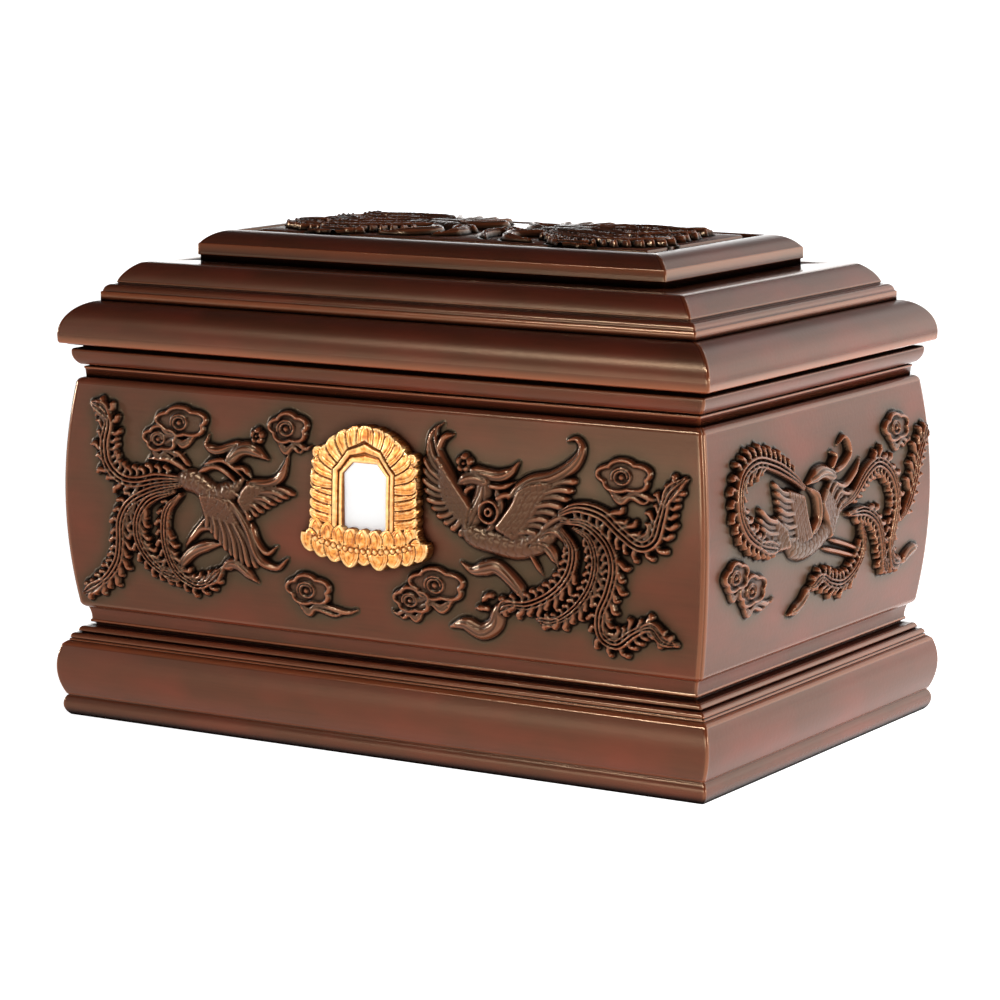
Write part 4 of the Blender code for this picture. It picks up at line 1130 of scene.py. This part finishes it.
def add_mouldings(wood):
    """Every course that runs round the box."""
    courses = (
        ("base_torus", "base_moulding", base_profile()),
        ("neck_mouldings", "lower_neck_moulding", neck_profile()),
        ("cornice_ovolo", "upper_cornice", cornice_profile()),
        ("lid_big_ovolo", "lid_rim", rim_profile()),
        ("lid_steps", "lid_tier", tier_profile()),
    )
    for name, node, profile in courses:
        piece = swept(name, profile, MITRE_RADIUS, (0, 1, 2, 3))
        piece.data.materials.append(wood)
        standing_for(piece, node)


def add_walls(wood):
    """The four bulging boards, each with its carving."""
    half_x, half_y = HALF_X - CASE_MARGIN, HALF_Y - CASE_MARGIN
    walls = (
        ("front", half_x, 1, (RIGHT_BIRD, LEFT_BIRD), FRONT_CLOUDS),
        ("right", half_y, 1, (SIDE_BIRD,), SIDE_CLOUDS),
        ("back", half_x, 1, (), BACK_CLOUDS),
        ("left", half_y, -1, (SIDE_BIRD,), SIDE_CLOUDS),
    )
    for quarter, (side, half, flip, figures, clouds) in enumerate(walls):
        relief = Relief(-half, half, CASE_LOW, CASE_HIGH, flip)
        for figure in figures:
            bird(relief, figure)
        for row in clouds:
            cloud(relief, *row)
        piece = swept(f"{side}_board", case_profile(), CASE_RADIUS, (quarter,), WALL_GRID,
                      ground=ground_of(relief, quarter))
        piece.data.materials.append(wood)
        join_sheets(piece, [relief_sheet(relief, on_wall(quarter))])
        standing_for(piece, f"{side}_panel")


def add_cap(wood):
    """The top board: moulded edge, channel and carved panel."""
    piece = swept("lid_top_board", cap_profile(), MITRE_RADIUS, (0, 1, 2, 3), closed=False)
    piece.data.materials.append(wood)
    sheets = []
    for flip in (1, -1):
        relief = Relief(-PANEL_HALF_X, PANEL_HALF_X, -PANEL_HALF_Y, PANEL_HALF_Y, flip)
        bird(relief, CAP_BIRD)
        for row in CAP_CLOUDS:
            cloud(relief, *row)
        sheets.append(relief_sheet(relief, on_cap))
    join_sheets(piece, sheets)
    standing_for(piece, "lid_cap")


def add_carried_nodes():
    """The nodes whose solids already have the right shape get their own materials."""
    for node, material in (("portrait_card", white_card()), ("floor_board", bare_board())):
        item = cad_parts[node]
        item.data.materials.clear()
        item.data.materials.append(material)


# The camera and the studio: metres, degrees and watts
CAMERA_PLACE = (0.8646, -1.4106 + SHIFT_Y * MM, 0.3673)
CAMERA_AZIMUTH = 31.49
CAMERA_ELEVATION = 9.23
CAMERA_LENS = 132.3
FLOOR_SIZE = 60
GLOW_CENTRE = (0.42, 0.36, 0.0)
GLOW_REACH = 6.0
GLOW_STRENGTH = 1.75
GLOW_LEVELS = ((0.02, 1.0), (0.14, 0.48), (0.3, 0.48), (0.6, 0.62))

# Each light: name, place, target, size, power, and whether it only shows in reflections
LIGHTS = (
    ("back_softbox", (0.95, 1.45, 0.86), (0, 0, 0.08), (2.2, 1.7), 14.5, False),
    ("right_softbox", (1.7, 0.1, 0.3), (0, 0, 0.08), (1.0, 0.5), 6, False),
    ("back_left_softbox", (-1.48, 2.42, 0.68), (0, 0, 0.2), (1.8, 0.9), 9, False),
    ("low_strip", (1.5, -1.3, 0.3), (0, 0, 0.1), (0.12, 0.35), 1.4, False),
    ("glint_strip", (-0.5, -1.5, 1.4), (0, 0, 0.1), (0.9, 0.14), 22, True),
    ("left_glint", (-2.0, -0.9, 0.5), (0, 0, 0.1), (0.14, 0.5), 26, True),
    ("right_glint", (1.9, -0.35, 0.55), (0, 0, 0.1), (0.14, 0.4), 12, True),
    ("front_fill", (-0.6, -1.9, 0.22), (0, 0, 0.05), (0.8, 0.4), 6, False),
)


def add_camera():
    """The camera at the photograph's place and angle."""
    camera = bpy.data.cameras.new("camera")
    camera.lens = CAMERA_LENS
    camera.sensor_width = 36.0
    item = bpy.data.objects.new("camera", camera)
    bpy.context.scene.collection.objects.link(item)
    azimuth, elevation = radians(CAMERA_AZIMUTH), radians(CAMERA_ELEVATION)
    item.rotation_euler = (pi / 2 - elevation, 0, azimuth)
    item.location = CAMERA_PLACE
    bpy.context.scene.camera = item


def area_light(name, place, target, size, power, glint):
    """A soft rectangular light that faces a target."""
    light = bpy.data.lights.new(name, "AREA")
    light.shape = "RECTANGLE"
    light.size, light.size_y = size
    light.energy = power
    item = bpy.data.objects.new(name, light)
    item.visible_diffuse = not glint
    item.location = place
    item.rotation_euler = (Vector(target) - Vector(place)).to_track_quat("-Z", "Y").to_euler()
    bpy.context.scene.collection.objects.link(item)


def add_floor():
    """A pale floor that glows behind the urn and again far off."""
    bpy.ops.mesh.primitive_plane_add(size=FLOOR_SIZE, location=(0, 0, 0))
    floor = bpy.context.object
    floor.name = "studio_floor"
    material, shader, add = new_material("studio_floor")
    apart = add("ShaderNodeVectorMath", {0: object_place(add), 1: GLOW_CENTRE}, operation="DISTANCE")
    share = mapped(add, apart.outputs["Value"], 0.0, GLOW_REACH)
    glow = ramp(add, share, [(place, (level, level, level)) for place, level in GLOW_LEVELS])
    fill(shader, {"Base Color": (0.85, 0.85, 0.85, 1.0), "Roughness": 0.8, "Emission Color": glow,
                  "Emission Strength": GLOW_STRENGTH})
    floor.data.materials.append(material)


def add_sky():
    """A dim room that is bright at the horizon, and more so behind the urn."""
    world = bpy.data.worlds.new("studio")
    world.use_nodes = True
    add = node_maker(world)
    way = add("ShaderNodeTexCoord").outputs["Generated"]
    height = add("ShaderNodeSeparateXYZ", {"Vector": way}).outputs["Z"]
    behind = add("ShaderNodeVectorMath", {0: way, 1: (0.0, 1.0, 0.0)}, operation="DOT_PRODUCT")
    fall = mapped(add, height, 0.18, 0.48, 1.0, 0.05, "SMOOTHSTEP")
    side = mapped(add, behind.outputs["Value"], -1.0, 1.0, 0.27, 1.12)
    fill(world.node_tree.nodes["Background"], {"Color": (1, 1, 1, 1), "Strength": product(add, fall, side)})
    bpy.context.scene.world = world


def add_studio():
    """The floor, the room and the lights, and how the picture shows them."""
    add_floor()
    add_sky()
    for light in LIGHTS:
        area_light(*light)
    bpy.context.scene.view_settings.view_transform = "Standard"


rosewood = lacquered_rosewood()
add_camera()
add_mouldings(rosewood)
add_walls(rosewood)
add_cap(rosewood)
add_gilt(antique_gilt())
add_carried_nodes()
add_studio()
